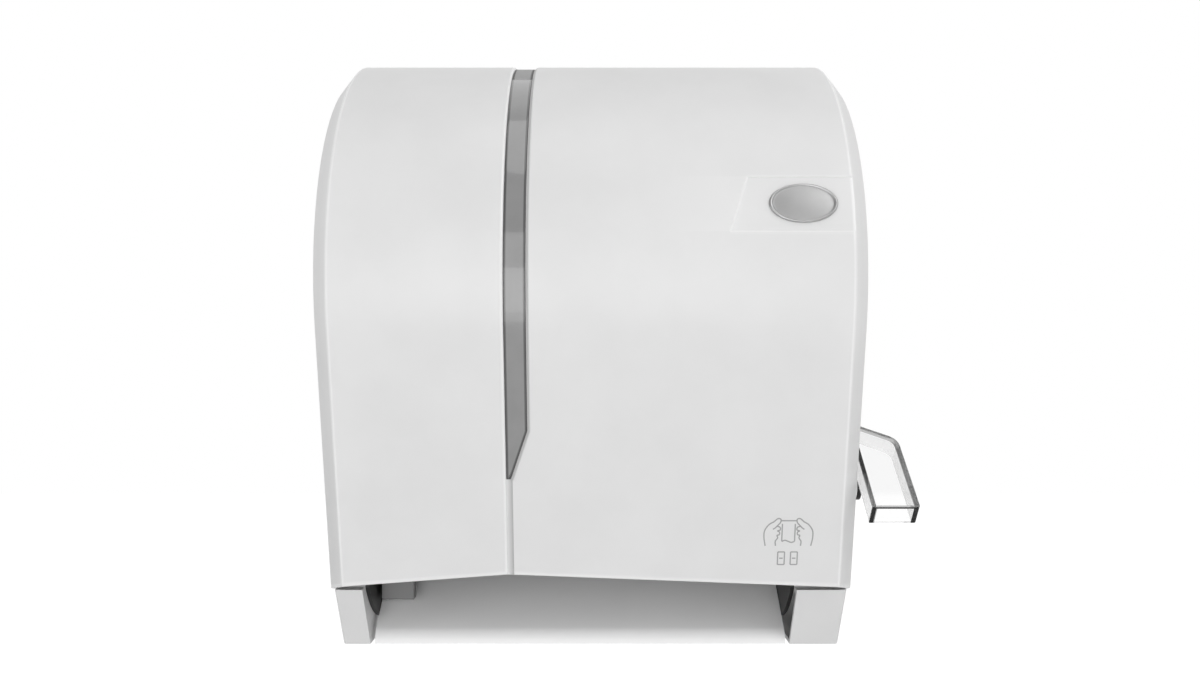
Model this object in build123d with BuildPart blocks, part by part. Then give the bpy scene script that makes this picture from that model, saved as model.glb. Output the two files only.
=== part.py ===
"""Wall-mounted lever paper towel dispenser, as separate pieces.

Millimetres. +X is the viewer's right, -Y is the front, +Z is up. The wall face is y = 0 and the
origin is the centre of the four wall screws, at half the body's height. Side sections are drawn in
(d, z), where d is the distance from the wall.
"""

from build123d import *
import os
from math import acos, atan2, cos, degrees, hypot, pi, radians, sin, tan

# Front cover: a crown of one radius, a flat top and a front that leans back towards the bottom. It
# is as wide as the paper and the room at each side of it.
paper_width = 200.0
side_room = 50.0
body_height = 358.0
cover_depth = 220.0
crown_radius = 142.0
front_lean = 13.64
cover_wall = 2.5
cover_rear_gap = 3.0
bevel_side = 9.3
bevel_depth = 10.85
bevel_edge_radius = 2.0
skirt_corner_height = 40.0
skirt_peak_rise = 8.2

# Split line of the cover: a smoked window strip over the crown, then a groove to the skirt. A drop
# is a distance below the top of the cover and an inset is a distance in from its side.
strip_inset = 103.25
strip_left_round = 1.5
strip_width = 12.05
strip_recess = 1.2
strip_thickness = 1.3
strip_flange = 3.5
strip_right_drop = 228.2
strip_tip_drop = 255.4
strip_tip_width = 2.6
trim_start_angle = 58.0
trim_rear_margin = 20.0
groove_width = 3.3
groove_depth = 1.6

# Badge bay on the right of the cover.
bay_top_drop = 90.0
bay_height = 30.4
bay_top_inset = 65.4
bay_bottom_inset = 74.1
bay_depth = 0.7
badge_width = 37.0
badge_height = 21.5
badge_thickness = 1.6
badge_inset = 36.2
badge_drop = 105.0

# Lock at the rear of the top.
lock_d = 34.0
plug_radius = 4.0
plug_tail = 2.5
lock_housing_radius = 5.5
lock_head_radius = 5.8
lock_head_thickness = 1.0
lock_length = 18.0
cam_length = 22.0
cam_width = 9.0
cam_thickness = 2.5
cam_tip_radius = 3.0
nut_radius = 8.5
nut_thickness = 3.0
key_slot_length = 5.0
key_slot_width = 1.2
key_slot_depth = 3.0
keeper_thickness = 2.5
keeper_gap = 3.0
keeper_lip_gap = 1.0
keeper_width = 12.0
keeper_lip_rise = 4.5
keeper_foot_height = 20.0

# Chassis. The pairs are a distance behind the cover's skin and a height above the bottom.
plate_thickness = 3.0
rim_depth = 15.0
rim_wall = 2.5
cover_clearance = 0.5
cover_top_clearance = 1.0
wall_screw_inset_x = 30.0
wall_screw_inset_z = 109.0
wall_screw_radius = 2.75
wall_boss_radius = 9.0
wall_boss_height = 2.0
plate_rib_spacing = 60.0
plate_rib_count = 3
plate_rib_width = 2.0
plate_rib_height = 2.5
plate_rib_top_gap = 15.5
plate_rib_tail = 27.0
frame_wall = 2.5
frame_bottom_setback = 20.4
frame_setback = 6.13
frame_knee_drop = 2.8
frame_ledge = 7.6
frame_shoulder = (29.1, 84.0)
frame_brow = (55.0, 129.0)
frame_top = (104.3, 151.0)
left_frame_width = 16.0
frame_edge_radius = 1.5

# Cover hinge.
hinge_d = 15.0
hinge_height = 14.0
hinge_pin_radius = 3.0
hinge_pin_tail = 10.0
hinge_pin_inset = 0.2
hinge_ear_radius = 13.5
hinge_boss_radius = 7.0
hinge_boss_length = 8.0

# Fits between pieces that turn on each other, and between pieces that pass each other.
running_clearance = 0.05
passing_gap = 0.3
side_gap = 0.3
shaft_nose = 1.0
small_round = 1.5

# How far a cutting solid passes the face that it cuts, and how near an edge lies to the place by
# which it is picked.
overrun = 10.0
pick_margin = 1.0

# Mechanism plates.
mech_plate_thickness = 2.2
mech_centre = (80.9, 79.0)
mech_radius = 70.0
mech_rear_d = 48.0
mech_inset = 1.0
bush_wall = 2.0
bush_flange = 2.0
bush_flange_thickness = 1.2

# Feed roller.
paper_centre_x = -6.5
feed_setback = 50.45
feed_height = 69.0
feed_radius = 17.0
feed_sleeve_wall = 2.0
feed_sleeve_width = 30.0
feed_sleeve_count = 4
feed_shaft_radius = 4.0
roller_end_gap = 2.5

# Gear pair: a toothed sector on the lever shaft and a pinion on the feed shaft.
gear_module = 2.0
pressure_angle = 20.0
sector_teeth = 64
pinion_teeth = 12
sector_addendum = 0.65
pinion_addendum = 0.95
tooth_backlash = 0.25
gear_thickness = 6.0
gear_offset = 4.0
root_clearance = 0.2
pivot_direction = 160.0
sector_hub_radius = 11.0
sector_rim = 7.0
sector_spoke = 7.0
sector_spare_teeth = 2
flank_steps = 4
clutch_cup_length = 9.0
clutch_cup_radius = 12.0
clutch_cup_wall = 2.2
clutch_hub_radius = 7.2
clutch_roller_radius = 1.1
clutch_roller_count = 3

# Lever.
lever_travel_angle = 35.0
lever_slot_angle = 60.0
lever_shaft_radius = 5.0
lever_gap = 1.4
lever_wall = 2.6
lever_setback = 7.0
lever_tip_height = 90.0
lever_slope = 38.3
lever_width = 25.6
lever_tray_depth = 12.2
lever_side_length = 54.0
lever_root_length = 68.4
lever_arm_setback = 33.0
lever_arm_bottom_height = 89.0
lever_arm_corner = 8.0
lever_arm_tuck = 1.0
lever_boss_radius = 12.5
lever_boss_length = 7.0
lever_shoulder_radius = 9.4
lever_tip_radius = 1.5
lever_slot_clearance = 2.0
lever_washer_radius = 8.0
lever_washer_thickness = 1.0
lever_screw_radius = 5.0
lever_screw_height = 2.4
lever_screw_round = 1.0
cross_slot_length = 6.0
lever_frame_boss_radius = 10.0
lever_frame_boss_length = 6.0
spring_wire_radius = 0.6
spring_coil_radius = 9.0
spring_pitch = 1.7
spring_turns = 3
lever_spring_gap = 1.4
bumper_radius = 4.0
bumper_core_radius = 2.5
bumper_length = 10.0
bumper_lead = 1.0
bumper_reach = 50.0

# Pinch roller and its sprung cradle.
pinch_radius = 9.0
pinch_shaft_radius = 2.5
pinch_direction = 215.0
cradle_reach = 40.0
cradle_rise = 4.0
cradle_rod_radius = 2.5
cradle_arm_thickness = 2.5
cradle_arm_radius = 5.5
cradle_arm_gap = 1.0
cradle_bar_thickness = 3.0
cradle_bar_height = 10.0
cradle_bar_lead = 1.0
cradle_bar_drop = 6.0
cradle_spring_radius = 4.2
cradle_spring_wire = 0.6
cradle_spring_pitch = 1.6
cradle_spring_turns = 4
cradle_spring_gap = 2.0

# Tear bar.
tear_blade_thickness = 1.0
tear_blade_gap = 3.0
tear_blade_drop = 6.0
tear_blade_height = 18.0
tear_tooth_pitch = 5.0
tear_tooth_depth = 3.2
holder_depth = 6.0
holder_height = 13.0

# Paper chute.
chute_wall = 2.5
chute_lip_setback = 6.55
chute_slope = 39.7
chute_nose_radius = 9.0
chute_nose_drop = 0.8
chute_floor_height = 73.0
chute_flange_height = 14.0
chute_bend_radius = 5.0
chute_rib_thickness = 2.0
chute_rib_depth = 16.0
chute_rib_count = 5
guide_width = 19.0
guide_inner_gap = 2.3
guide_depth = 10.0
guide_setback = 5.75
guide_rise = 23.4
guide_height = 22.0
guide_tab_height = 10.0

# Roll holder.
roll_radius = 95.0
roll_wall_gap = 6.0
roll_rise = 23.0
arm_thickness = 3.0
arm_nose_radius = 15.0
arm_root_height = 62.0
arm_foot_width = 20.0
arm_foot_thickness = 3.0
arm_window_margin = 9.0
hub_flange_radius = 22.0
hub_flange_thickness = 3.0
hub_mouth_radius = 18.0
hub_nose_radius = 14.0
hub_length = 14.0
hub_pin_radius = 3.5
hub_pin_head_radius = 6.0
hub_pin_head_thickness = 2.0
arm_pivot_d = 16.0
arm_pivot_radius = 2.5
arm_barrel_radius = 6.0
arm_knuckle_height = 15.0
arm_spring_radius = 4.0
arm_spring_wire = 0.6
arm_spring_pitch = 1.6
arm_spring_turns = 4

# Screws.
screw_head_radius = 3.4
screw_head_height = 1.8
screw_margin = 9.0
screw_slot_depth = 0.8
screw_slot_width = 1.0


def front_d(height, setback):
    """Distance from the wall of a place `setback` behind the cover's flat front."""
    return foot_d - (foot_z - bottom_z - height) * tan(lean) - setback


# Places worked out from the sizes above.
cover_width = paper_width + 2 * side_room
half_width = cover_width / 2
top_z = body_height / 2
bottom_z = -body_height / 2
crown_d = cover_depth - crown_radius
crown_z = top_z - crown_radius
lean = radians(front_lean)
inner_half_width = half_width - cover_wall
chassis_half_width = inner_half_width - cover_clearance
skirt_corner_z = bottom_z + skirt_corner_height
knee_z = skirt_corner_z - frame_knee_drop
ridge_x = half_width - bevel_side
foot_d = crown_d + crown_radius * cos(lean)
foot_z = crown_z - crown_radius * sin(lean)
skirt_corner_d = foot_d - (foot_z - skirt_corner_z) * tan(lean)
strip_left_x = strip_inset - half_width
right_frame_width = (
    frame_wall
    + lever_frame_boss_length
    + bush_flange_thickness
    + side_gap
    + 2 * spring_wire_radius
    + spring_pitch * spring_turns
    + lever_spring_gap
    + shaft_nose
    + gear_thickness
    + gear_offset
)
left_plate_x = -chassis_half_width + left_frame_width
right_plate_x = chassis_half_width - right_frame_width
left_inside_x = left_plate_x + mech_plate_thickness
right_inside_x = right_plate_x - mech_plate_thickness
paper_left_x = paper_centre_x - paper_width / 2
paper_right_x = paper_centre_x + paper_width / 2
strip_right_x = strip_left_x + strip_width
strip_middle_x = (strip_left_x + strip_right_x) / 2
sector_radius = gear_module * sector_teeth / 2
pinion_radius = gear_module * pinion_teeth / 2
gear_distance = sector_radius + pinion_radius
strip_right_end_z = top_z - strip_right_drop
strip_tip_z = top_z - strip_tip_drop
bay_top_left_x = half_width - bay_top_inset
bay_bottom_left_x = half_width - bay_bottom_inset
badge_x = half_width - badge_inset
bay_top_z = top_z - bay_top_drop
bay_bottom_z = bay_top_z - bay_height
badge_z = top_z - badge_drop
hinge_z = bottom_z + hinge_height
feed_z = bottom_z + feed_height
mech_z = bottom_z + mech_centre[1]
frame_top_z = bottom_z + frame_top[1]
roll_z = crown_z + roll_rise
lever_reach = cover_depth - lever_setback
lever_arm_front_d = lever_reach - lever_arm_setback
lever_tip_z = bottom_z + lever_tip_height
lever_arm_bottom_z = bottom_z + lever_arm_bottom_height
frame_bottom_depth = front_d(0, frame_bottom_setback)
frame_front_depth = front_d(knee_z - bottom_z, frame_setback)
mech_d = front_d(mech_centre[1], mech_centre[0])
feed_d = front_d(feed_height, feed_setback)
cradle_d = feed_d - cradle_reach
cradle_z = feed_z + cradle_rise
chute_floor_z = bottom_z + chute_floor_height
tear_blade_d = feed_d + feed_radius + tear_blade_gap
tear_blade_top_z = feed_z - tear_blade_drop
tear_blade_tip_z = tear_blade_top_z - tear_blade_height
lever_d = feed_d + gear_distance * cos(radians(pivot_direction))
lever_z = feed_z + gear_distance * sin(radians(pivot_direction))
roll_d = plate_thickness + roll_radius + roll_wall_gap
sector_last_tooth = round(lever_travel_angle * sector_teeth / 360) + sector_spare_teeth
pinch_distance = feed_radius + pinch_radius + passing_gap
pinch_d = feed_d + pinch_distance * cos(radians(pinch_direction))
pinch_z = feed_z + pinch_distance * sin(radians(pinch_direction))
gear_x = right_plate_x + gear_offset
lever_x = half_width + lever_gap
lever_outer_x = lever_x + lever_width
slot_radius = hypot(lever_d - hinge_d, lever_z - hinge_z)
slot_angle = degrees(atan2(lever_z - hinge_z, lever_d - hinge_d))


def side_plane(x):
    """Plane of a side section at x: its own x is the distance from the wall, its y is up."""
    return Plane(origin=(x, 0, 0), x_dir=(0, -1, 0), z_dir=(-1, 0, 0))


def cover_section(x, depth, rear, bottom):
    """Side section of the cover, `depth` inside its skin, back to `rear` and down to `bottom`."""
    drop = crown_z - (crown_radius - depth) * sin(lean) - bottom
    with BuildSketch(side_plane(x)) as section:
        with BuildLine():
            crown = CenterArc((crown_d, crown_z), crown_radius - depth, -front_lean, 90 + front_lean)
            foot = crown @ 0
            Polyline(
                crown @ 1,
                (rear, top_z - depth),
                (rear, bottom),
                (foot.X - drop * tan(lean), bottom),
                foot,
            )
        make_face()
    return section.sketch


def skin_depth(point):
    """How far a point lies below the cover's skin, in its side section."""
    d, z = -point.Y, point.Z
    if d < crown_d and z > crown_z:
        return top_z - z
    if z < foot_z + (d - foot_d) * tan(-lean):
        return (foot_d - d) * cos(lean) - (foot_z - z) * sin(lean)
    return crown_radius - hypot(d - crown_d, z - crown_z)


def bevelled_block(depth, rear, bottom, edge_radius=0):
    """The cover's outer form, `depth` inside its skin, with the wide bevel along both sides."""
    side = half_width - depth
    corner = (bevel_side + bevel_depth - hypot(bevel_side, bevel_depth)) * depth
    with BuildPart() as block:
        extrude(cover_section(side, depth, rear, bottom), amount=2 * side)
        for end in block.faces().filter_by(Axis.X):
            rim = end.edges().filter_by(lambda e: e.center().Z > bottom + pick_margin)
            rim = rim.filter_by(lambda e: -e.center().Y > rear + pick_margin)
            chamfer(
                rim,
                length=bevel_depth - corner / bevel_side,
                length2=bevel_side - corner / bevel_depth,
                reference=end,
            )
        if edge_radius:
            ridges = block.edges().filter_by(lambda e: abs(skin_depth(e @ 0.5) - depth) < 0.01)
            fillet(ridges.filter_by(lambda e: abs(abs((e @ 0.5).X) - ridge_x) < 0.01), edge_radius)
    return block.part


def skin_band(left_x, right_x, outer_depth, inner_depth):
    """A band that follows the cover's skin, between two depths below it."""
    with BuildPart() as band:
        extrude(
            cover_section(right_x, outer_depth, cover_rear_gap, bottom_z),
            amount=right_x - left_x,
        )
        extrude(
            cover_section(
                right_x + overrun, inner_depth, cover_rear_gap - overrun, bottom_z - overrun
            ),
            amount=right_x - left_x + 2 * overrun,
            mode=Mode.SUBTRACT,
        )
    return band.part


def front_outline(*corners):
    """A prism through the depth of the cover, cut to an outline seen from the front, in (x, z)."""
    with BuildPart() as prism:
        with BuildSketch(Plane.XZ.offset(trim_rear_margin)):
            Polygon(*corners, align=None)
        extrude(amount=cover_depth)
    return prism.part


def strip_outline(grow):
    """Outline of the window strip seen from the front, grown by `grow` on each side."""
    return (
        (strip_left_x - grow, top_z + overrun),
        (strip_left_x - grow, strip_tip_z - grow),
        (strip_left_x + strip_tip_width + grow / 2, strip_tip_z - grow),
        (strip_right_x + grow, strip_right_end_z),
        (strip_right_x + grow, top_z + overrun),
    )


def strip_layer(grow, outer_depth, inner_depth):
    """One layer of the strip's insert, `grow` wider than its slot on each side."""
    with BuildPart() as layer:
        add(skin_band(strip_left_x - grow, strip_right_x + grow, outer_depth, inner_depth))
        add(front_outline(*strip_outline(grow)), mode=Mode.INTERSECT)
    return layer.part


def trim_region():
    """The part of the crown and top that lies behind the end of the window strip."""
    reach = crown_radius + overrun
    edge_d = crown_d + reach * cos(radians(trim_start_angle))
    edge_z = crown_z + reach * sin(radians(trim_start_angle))
    with BuildPart() as region:
        with BuildSketch(side_plane(half_width)):
            Polygon(
                (crown_d, crown_z),
                (edge_d, edge_z),
                (edge_d, top_z + overrun),
                (trim_rear_margin, top_z + overrun),
                (trim_rear_margin, crown_z),
                align=None,
            )
        extrude(amount=cover_width)
    return region.part


def tube(axis_d, axis_z, left_x, right_x, radius, bore=0):
    """A round bar or tube along X between two planes."""
    with BuildPart() as bar:
        with BuildSketch(side_plane(right_x)):
            with Locations((axis_d, axis_z)):
                Circle(radius)
                if bore:
                    Circle(bore, mode=Mode.SUBTRACT)
        extrude(amount=right_x - left_x)
    return bar.part


def tooth_outline(radius, teeth, tip, root):
    """One involute tooth about +X, from just under the root circle to the tip circle."""
    base = radius * cos(radians(pressure_angle))
    flank = radians(pressure_angle)
    half_pitch = (pi * radius / teeth - tooth_backlash) / 2 / radius
    start = max(base, root)
    steps = [start + (tip - start) * k / flank_steps for k in range(flank_steps + 1)]
    side = [(root - gear_module / 4, half_pitch + tan(flank) - flank)]
    for r in steps:
        roll = acos(min(1, base / r))
        side.append((r, half_pitch + tan(flank) - flank - tan(roll) + roll))
    lower = [(r * cos(a), -r * sin(a)) for r, a in side]
    upper = [(r * cos(a), r * sin(a)) for r, a in reversed(side)]
    return lower + upper


def coil_spring(foot, direction, pitch, turns, radius, wire_radius):
    """A round coil that climbs along `direction` from the centre `foot`."""
    with BuildPart() as spring:
        with BuildLine():
            coil = Helix(pitch, pitch * turns, radius, center=foot, direction=direction)
        with BuildSketch(Plane(origin=coil @ 0, z_dir=coil % 0)):
            RegularPolygon(wire_radius, 6)
        sweep()
    return spring.part


# Front cover -----------------------------------------------------------------------------------
skirt_plane = Plane(
    origin=(0, -skirt_corner_d, skirt_corner_z),
    x_dir=(1, 0, 0),
    z_dir=(0, -cos(lean), sin(lean)),
)

with BuildPart() as strip_cut:
    add(strip_layer(0, -overrun, cover_wall + overrun))

with BuildPart() as groove_cut:
    add(skin_band(strip_left_x, strip_left_x + groove_width, -overrun, groove_depth))
    add(
        front_outline(
            (strip_left_x - overrun, bottom_z),
            (strip_right_x, bottom_z),
            (strip_right_x, strip_tip_z + groove_depth),
            (strip_left_x - overrun, strip_tip_z + groove_depth),
        ),
        mode=Mode.INTERSECT,
    )

with BuildPart() as badge_bay:
    add(skin_band(bay_bottom_left_x - overrun, ridge_x, -overrun, bay_depth))
    add(
        front_outline(
            (bay_bottom_left_x, bay_bottom_z),
            (half_width, bay_bottom_z),
            (half_width, bay_top_z),
            (bay_top_left_x, bay_top_z),
        ),
        mode=Mode.INTERSECT,
    )

with BuildPart() as front_cover:
    add(bevelled_block(0, cover_rear_gap, bottom_z, bevel_edge_radius))
    add(
        bevelled_block(cover_wall, cover_rear_gap - overrun, bottom_z - overrun),
        mode=Mode.SUBTRACT,
    )
    with BuildSketch(skirt_plane):
        Polygon(
            (-cover_width, -body_height),
            (-cover_width, 0),
            (-half_width, 0),
            (strip_left_x, skirt_peak_rise),
            (half_width, 0),
            (cover_width, 0),
            (cover_width, -body_height),
            align=None,
        )
    extrude(amount=cover_depth + overrun, both=True, mode=Mode.SUBTRACT)
    with BuildSketch(side_plane(half_width)):
        with Locations((hinge_d, hinge_z)):
            Rectangle(2 * hinge_d, 2 * hinge_d, align=(Align.MAX, Align.MAX))
    extrude(amount=cover_width, mode=Mode.SUBTRACT)
    for wall_x in (half_width, -inner_half_width):
        add(tube(hinge_d, hinge_z, wall_x - cover_wall, wall_x, hinge_ear_radius))
    add(
        tube(hinge_d, hinge_z, -half_width, half_width, hinge_pin_radius + running_clearance),
        mode=Mode.SUBTRACT,
    )
    with BuildSketch(side_plane(half_width)):
        with BuildLine():
            slot_path = CenterArc(
                (hinge_d, hinge_z), slot_radius, slot_angle, lever_slot_angle
            )
        SlotArc(slot_path, height=2 * (lever_shaft_radius + lever_slot_clearance))
    extrude(amount=cover_wall, mode=Mode.SUBTRACT)
    add(strip_cut.part, mode=Mode.SUBTRACT)
    add(groove_cut.part, mode=Mode.SUBTRACT)
    add(badge_bay.part, mode=Mode.SUBTRACT)
    skin_edges = front_cover.edges().filter_by(lambda e: abs(skin_depth(e @ 0.5)) < 0.01)
    split_edges = skin_edges.filter_by(lambda e: abs((e @ 0.5).X - strip_left_x) < 0.01)
    fillet(split_edges, strip_left_round)

strip_inside = cover_wall + strip_thickness
with BuildPart() as window_strip:
    add(strip_layer(0, strip_recess, cover_wall))
    add(strip_layer(strip_flange, cover_wall, strip_inside))
    add(trim_region(), mode=Mode.SUBTRACT)

with BuildPart() as lock_trim:
    add(strip_layer(0, strip_recess, cover_wall))
    add(strip_layer(strip_flange, cover_wall, strip_inside))
    add(trim_region(), mode=Mode.INTERSECT)
    with BuildSketch(Plane.XY.offset(top_z)):
        with Locations((strip_middle_x, -lock_d)):
            Circle(lock_housing_radius)
    extrude(amount=-lock_length, mode=Mode.SUBTRACT)

# Badge: a bare oval plate that follows the crown.
badge_plane = Plane(origin=(badge_x, 0, badge_z), x_dir=(1, 0, 0), z_dir=(0, -1, 0))
with BuildPart() as badge:
    add(
        skin_band(
            badge_x - badge_width / 2,
            badge_x + badge_width / 2,
            bay_depth - badge_thickness,
            bay_depth,
        )
    )
    with BuildSketch(badge_plane):
        Ellipse(badge_width / 2, badge_height / 2)
    extrude(amount=cover_depth + overrun, mode=Mode.INTERSECT)

# Lock -------------------------------------------------------------------------------------------
trim_top_z = top_z - strip_recess
housing_bottom_z = trim_top_z - lock_length
cam_top_z = housing_bottom_z - plug_tail
with BuildPart() as lock_housing:
    with BuildSketch(Plane.XY.offset(housing_bottom_z)):
        with Locations((strip_middle_x, -lock_d)):
            Circle(lock_housing_radius)
    extrude(amount=lock_length)
    with BuildSketch(Plane.XY.offset(trim_top_z)):
        with Locations((strip_middle_x, -lock_d)):
            Circle(lock_head_radius)
    extrude(amount=lock_head_thickness)
    with BuildSketch(Plane.XY.offset(housing_bottom_z)):
        with Locations((strip_middle_x, -lock_d)):
            Circle(plug_radius + running_clearance)
    extrude(amount=lock_length + lock_head_thickness, mode=Mode.SUBTRACT)

with BuildPart() as lock_plug:
    with BuildSketch(Plane.XY.offset(cam_top_z)):
        with Locations((strip_middle_x, -lock_d)):
            Circle(plug_radius)
    extrude(amount=trim_top_z + lock_head_thickness - cam_top_z)
    with BuildSketch(Plane.XY.offset(trim_top_z + lock_head_thickness)):
        with Locations((strip_middle_x, -lock_d)):
            Rectangle(key_slot_width, key_slot_length)
    extrude(amount=-key_slot_depth, mode=Mode.SUBTRACT)

with BuildPart() as lock_nut:
    with BuildSketch(Plane.XY.offset(top_z - strip_inside)):
        with Locations((strip_middle_x, -lock_d)):
            RegularPolygon(nut_radius, 6)
            Circle(lock_housing_radius, mode=Mode.SUBTRACT)
    extrude(amount=-nut_thickness)

with BuildPart() as lock_cam:
    with BuildSketch(Plane.XY.offset(cam_top_z)):
        with Locations((strip_middle_x, -lock_d)):
            Circle(lock_housing_radius)
            Rectangle(cam_width, cam_length, align=(Align.CENTER, Align.MIN))
    extrude(amount=-cam_thickness)
    tip_edges = lock_cam.edges().filter_by(Axis.Z).group_by(Axis.Y)[-1]
    fillet(tip_edges, cam_tip_radius)

keeper_top_z = cam_top_z - cam_thickness - keeper_gap
keeper_lip_d = lock_d + cam_width / 2 + keeper_lip_gap
keeper_x = strip_middle_x + cam_length
with BuildPart() as lock_keeper:
    with BuildSketch(side_plane(keeper_x)):
        Polygon(
            (plate_thickness, keeper_top_z - keeper_thickness),
            (keeper_lip_d + keeper_thickness, keeper_top_z - keeper_thickness),
            (keeper_lip_d + keeper_thickness, cam_top_z + keeper_lip_rise),
            (keeper_lip_d, cam_top_z + keeper_lip_rise),
            (keeper_lip_d, keeper_top_z),
            (plate_thickness + keeper_thickness, keeper_top_z),
            (plate_thickness + keeper_thickness, keeper_top_z + keeper_foot_height),
            (plate_thickness, keeper_top_z + keeper_foot_height),
            align=None,
        )
    extrude(amount=keeper_width)

# Chassis ----------------------------------------------------------------------------------------
chassis_top_z = top_z - cover_wall - cover_top_clearance
corner_cut = (bevel_side + bevel_depth - hypot(bevel_side, bevel_depth)) * (top_z - chassis_top_z)
corner_x = chassis_half_width - bevel_side + corner_cut / bevel_depth
corner_z = chassis_top_z - bevel_depth + corner_cut / bevel_side
plate_corners = (
    (-chassis_half_width, bottom_z),
    (chassis_half_width, bottom_z),
    (chassis_half_width, corner_z),
    (corner_x, chassis_top_z),
    (-corner_x, chassis_top_z),
    (-chassis_half_width, corner_z),
)
wall_screw_spacing_x = paper_width - 2 * wall_screw_inset_x
wall_screw_spacing_z = body_height - 2 * wall_screw_inset_z
rib_top_z = chassis_top_z - plate_rib_top_gap
rib_bottom_z = frame_top_z - plate_rib_tail
with BuildPart() as back_plate:
    with BuildSketch(Plane.XZ):
        Polygon(*plate_corners, align=None)
    extrude(amount=plate_thickness)
    with BuildSketch(Plane.XZ.offset(plate_thickness)):
        Polygon(*plate_corners, align=None)
        offset(amount=-rim_wall, mode=Mode.SUBTRACT)
        with Locations((0, frame_top_z)):
            Rectangle(cover_width, body_height, align=(Align.CENTER, Align.MAX), mode=Mode.SUBTRACT)
    extrude(amount=rim_depth - plate_thickness)
    with BuildSketch(Plane.XZ.offset(plate_thickness)):
        with GridLocations(wall_screw_spacing_x, wall_screw_spacing_z, 2, 2):
            Circle(wall_boss_radius)
    extrude(amount=wall_boss_height)
    with BuildSketch(Plane.XZ.offset(plate_thickness)):
        with Locations((0, (rib_top_z + rib_bottom_z) / 2)):
            with GridLocations(plate_rib_spacing, 1, plate_rib_count, 1):
                Rectangle(plate_rib_width, rib_top_z - rib_bottom_z)
    extrude(amount=plate_rib_height)
    with BuildSketch(Plane.XZ):
        with GridLocations(wall_screw_spacing_x, wall_screw_spacing_z, 2, 2):
            Circle(wall_screw_radius)
    extrude(amount=plate_thickness + wall_boss_height, mode=Mode.SUBTRACT)


def frame_section(x, inset):
    """Side outline of the side frames, `inset` inside their skin."""
    with BuildSketch(side_plane(x)) as section:
        Polygon(
            (plate_thickness, bottom_z),
            (frame_bottom_depth, bottom_z),
            (frame_front_depth, knee_z),
            (frame_front_depth - frame_ledge, knee_z),
            (front_d(frame_shoulder[1], frame_shoulder[0]), bottom_z + frame_shoulder[1]),
            (front_d(frame_brow[1], frame_brow[0]), bottom_z + frame_brow[1]),
            (front_d(frame_top[1], frame_top[0]), frame_top_z),
            (plate_thickness, frame_top_z),
            align=None,
        )
        if inset:
            offset(amount=-inset)
    return section.sketch


def hinge_boss(outer_x, inner_x):
    """Boss in a side frame that holds a cover hinge pin."""
    low_x, high_x = sorted((outer_x, inner_x))
    return tube(hinge_d, hinge_z, low_x, high_x, hinge_boss_radius)


def frame_block(x, width, outer_x):
    """Solid form of a side frame, with its outer edges round at the front and the bottom."""
    with BuildPart() as block:
        extrude(frame_section(x, 0), amount=width)
        rim = block.edges().filter_by(lambda e: abs(e.center().X - outer_x) < 0.01)
        fillet(rim.filter_by(lambda e: e.center().Z < knee_z - pick_margin), frame_edge_radius)
    return block.part


right_wall_x = chassis_half_width - frame_wall
with BuildPart() as left_side_frame:
    add(frame_block(left_plate_x, left_frame_width, -chassis_half_width))
    extrude(
        frame_section(left_plate_x, frame_wall),
        amount=left_frame_width - frame_wall,
        mode=Mode.SUBTRACT,
    )
    add(hinge_boss(-chassis_half_width, -right_wall_x + hinge_boss_length))
    add(
        tube(hinge_d, hinge_z, -chassis_half_width, left_plate_x, hinge_pin_radius),
        mode=Mode.SUBTRACT,
    )

tooth_angle = 360 / sector_teeth
mesh_angle = pivot_direction - 180
sector_start = mesh_angle - (sector_spare_teeth + 0.5) * tooth_angle
sector_end = mesh_angle + (sector_last_tooth + 0.5) * tooth_angle
bumper_angle = radians(sector_end) + (bumper_radius + passing_gap) / bumper_reach
bumper_d = lever_d + bumper_reach * cos(bumper_angle)
bumper_z = lever_z + bumper_reach * sin(bumper_angle)
bumper_x = gear_x - bumper_lead
lever_bush_radius = lever_shaft_radius + bush_wall
feed_bush_radius = feed_shaft_radius + bush_wall
lever_boss_x = right_wall_x - lever_frame_boss_length
with BuildPart() as right_side_frame:
    add(frame_block(chassis_half_width, right_frame_width, chassis_half_width))
    extrude(
        frame_section(right_wall_x, frame_wall),
        amount=right_frame_width,
        mode=Mode.SUBTRACT,
    )
    add(hinge_boss(chassis_half_width, right_wall_x - hinge_boss_length))
    add(tube(lever_d, lever_z, lever_boss_x, right_wall_x, lever_frame_boss_radius))
    add(tube(bumper_d, bumper_z, bumper_x, right_wall_x, bumper_core_radius))
    add(
        tube(hinge_d, hinge_z, right_plate_x, chassis_half_width, hinge_pin_radius),
        mode=Mode.SUBTRACT,
    )
    add(
        tube(lever_d, lever_z, lever_boss_x, chassis_half_width, lever_bush_radius),
        mode=Mode.SUBTRACT,
    )

with BuildPart() as hinge_pins:
    pin_end = half_width - hinge_pin_inset
    pin_tail = right_wall_x - hinge_pin_tail
    add(tube(hinge_d, hinge_z, -pin_end, -pin_tail, hinge_pin_radius))
    add(tube(hinge_d, hinge_z, pin_tail, pin_end, hinge_pin_radius))

with BuildPart() as lever_bumper:
    add(
        tube(
            bumper_d, bumper_z, bumper_x, bumper_x + bumper_length, bumper_radius, bumper_core_radius
        )
    )


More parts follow.
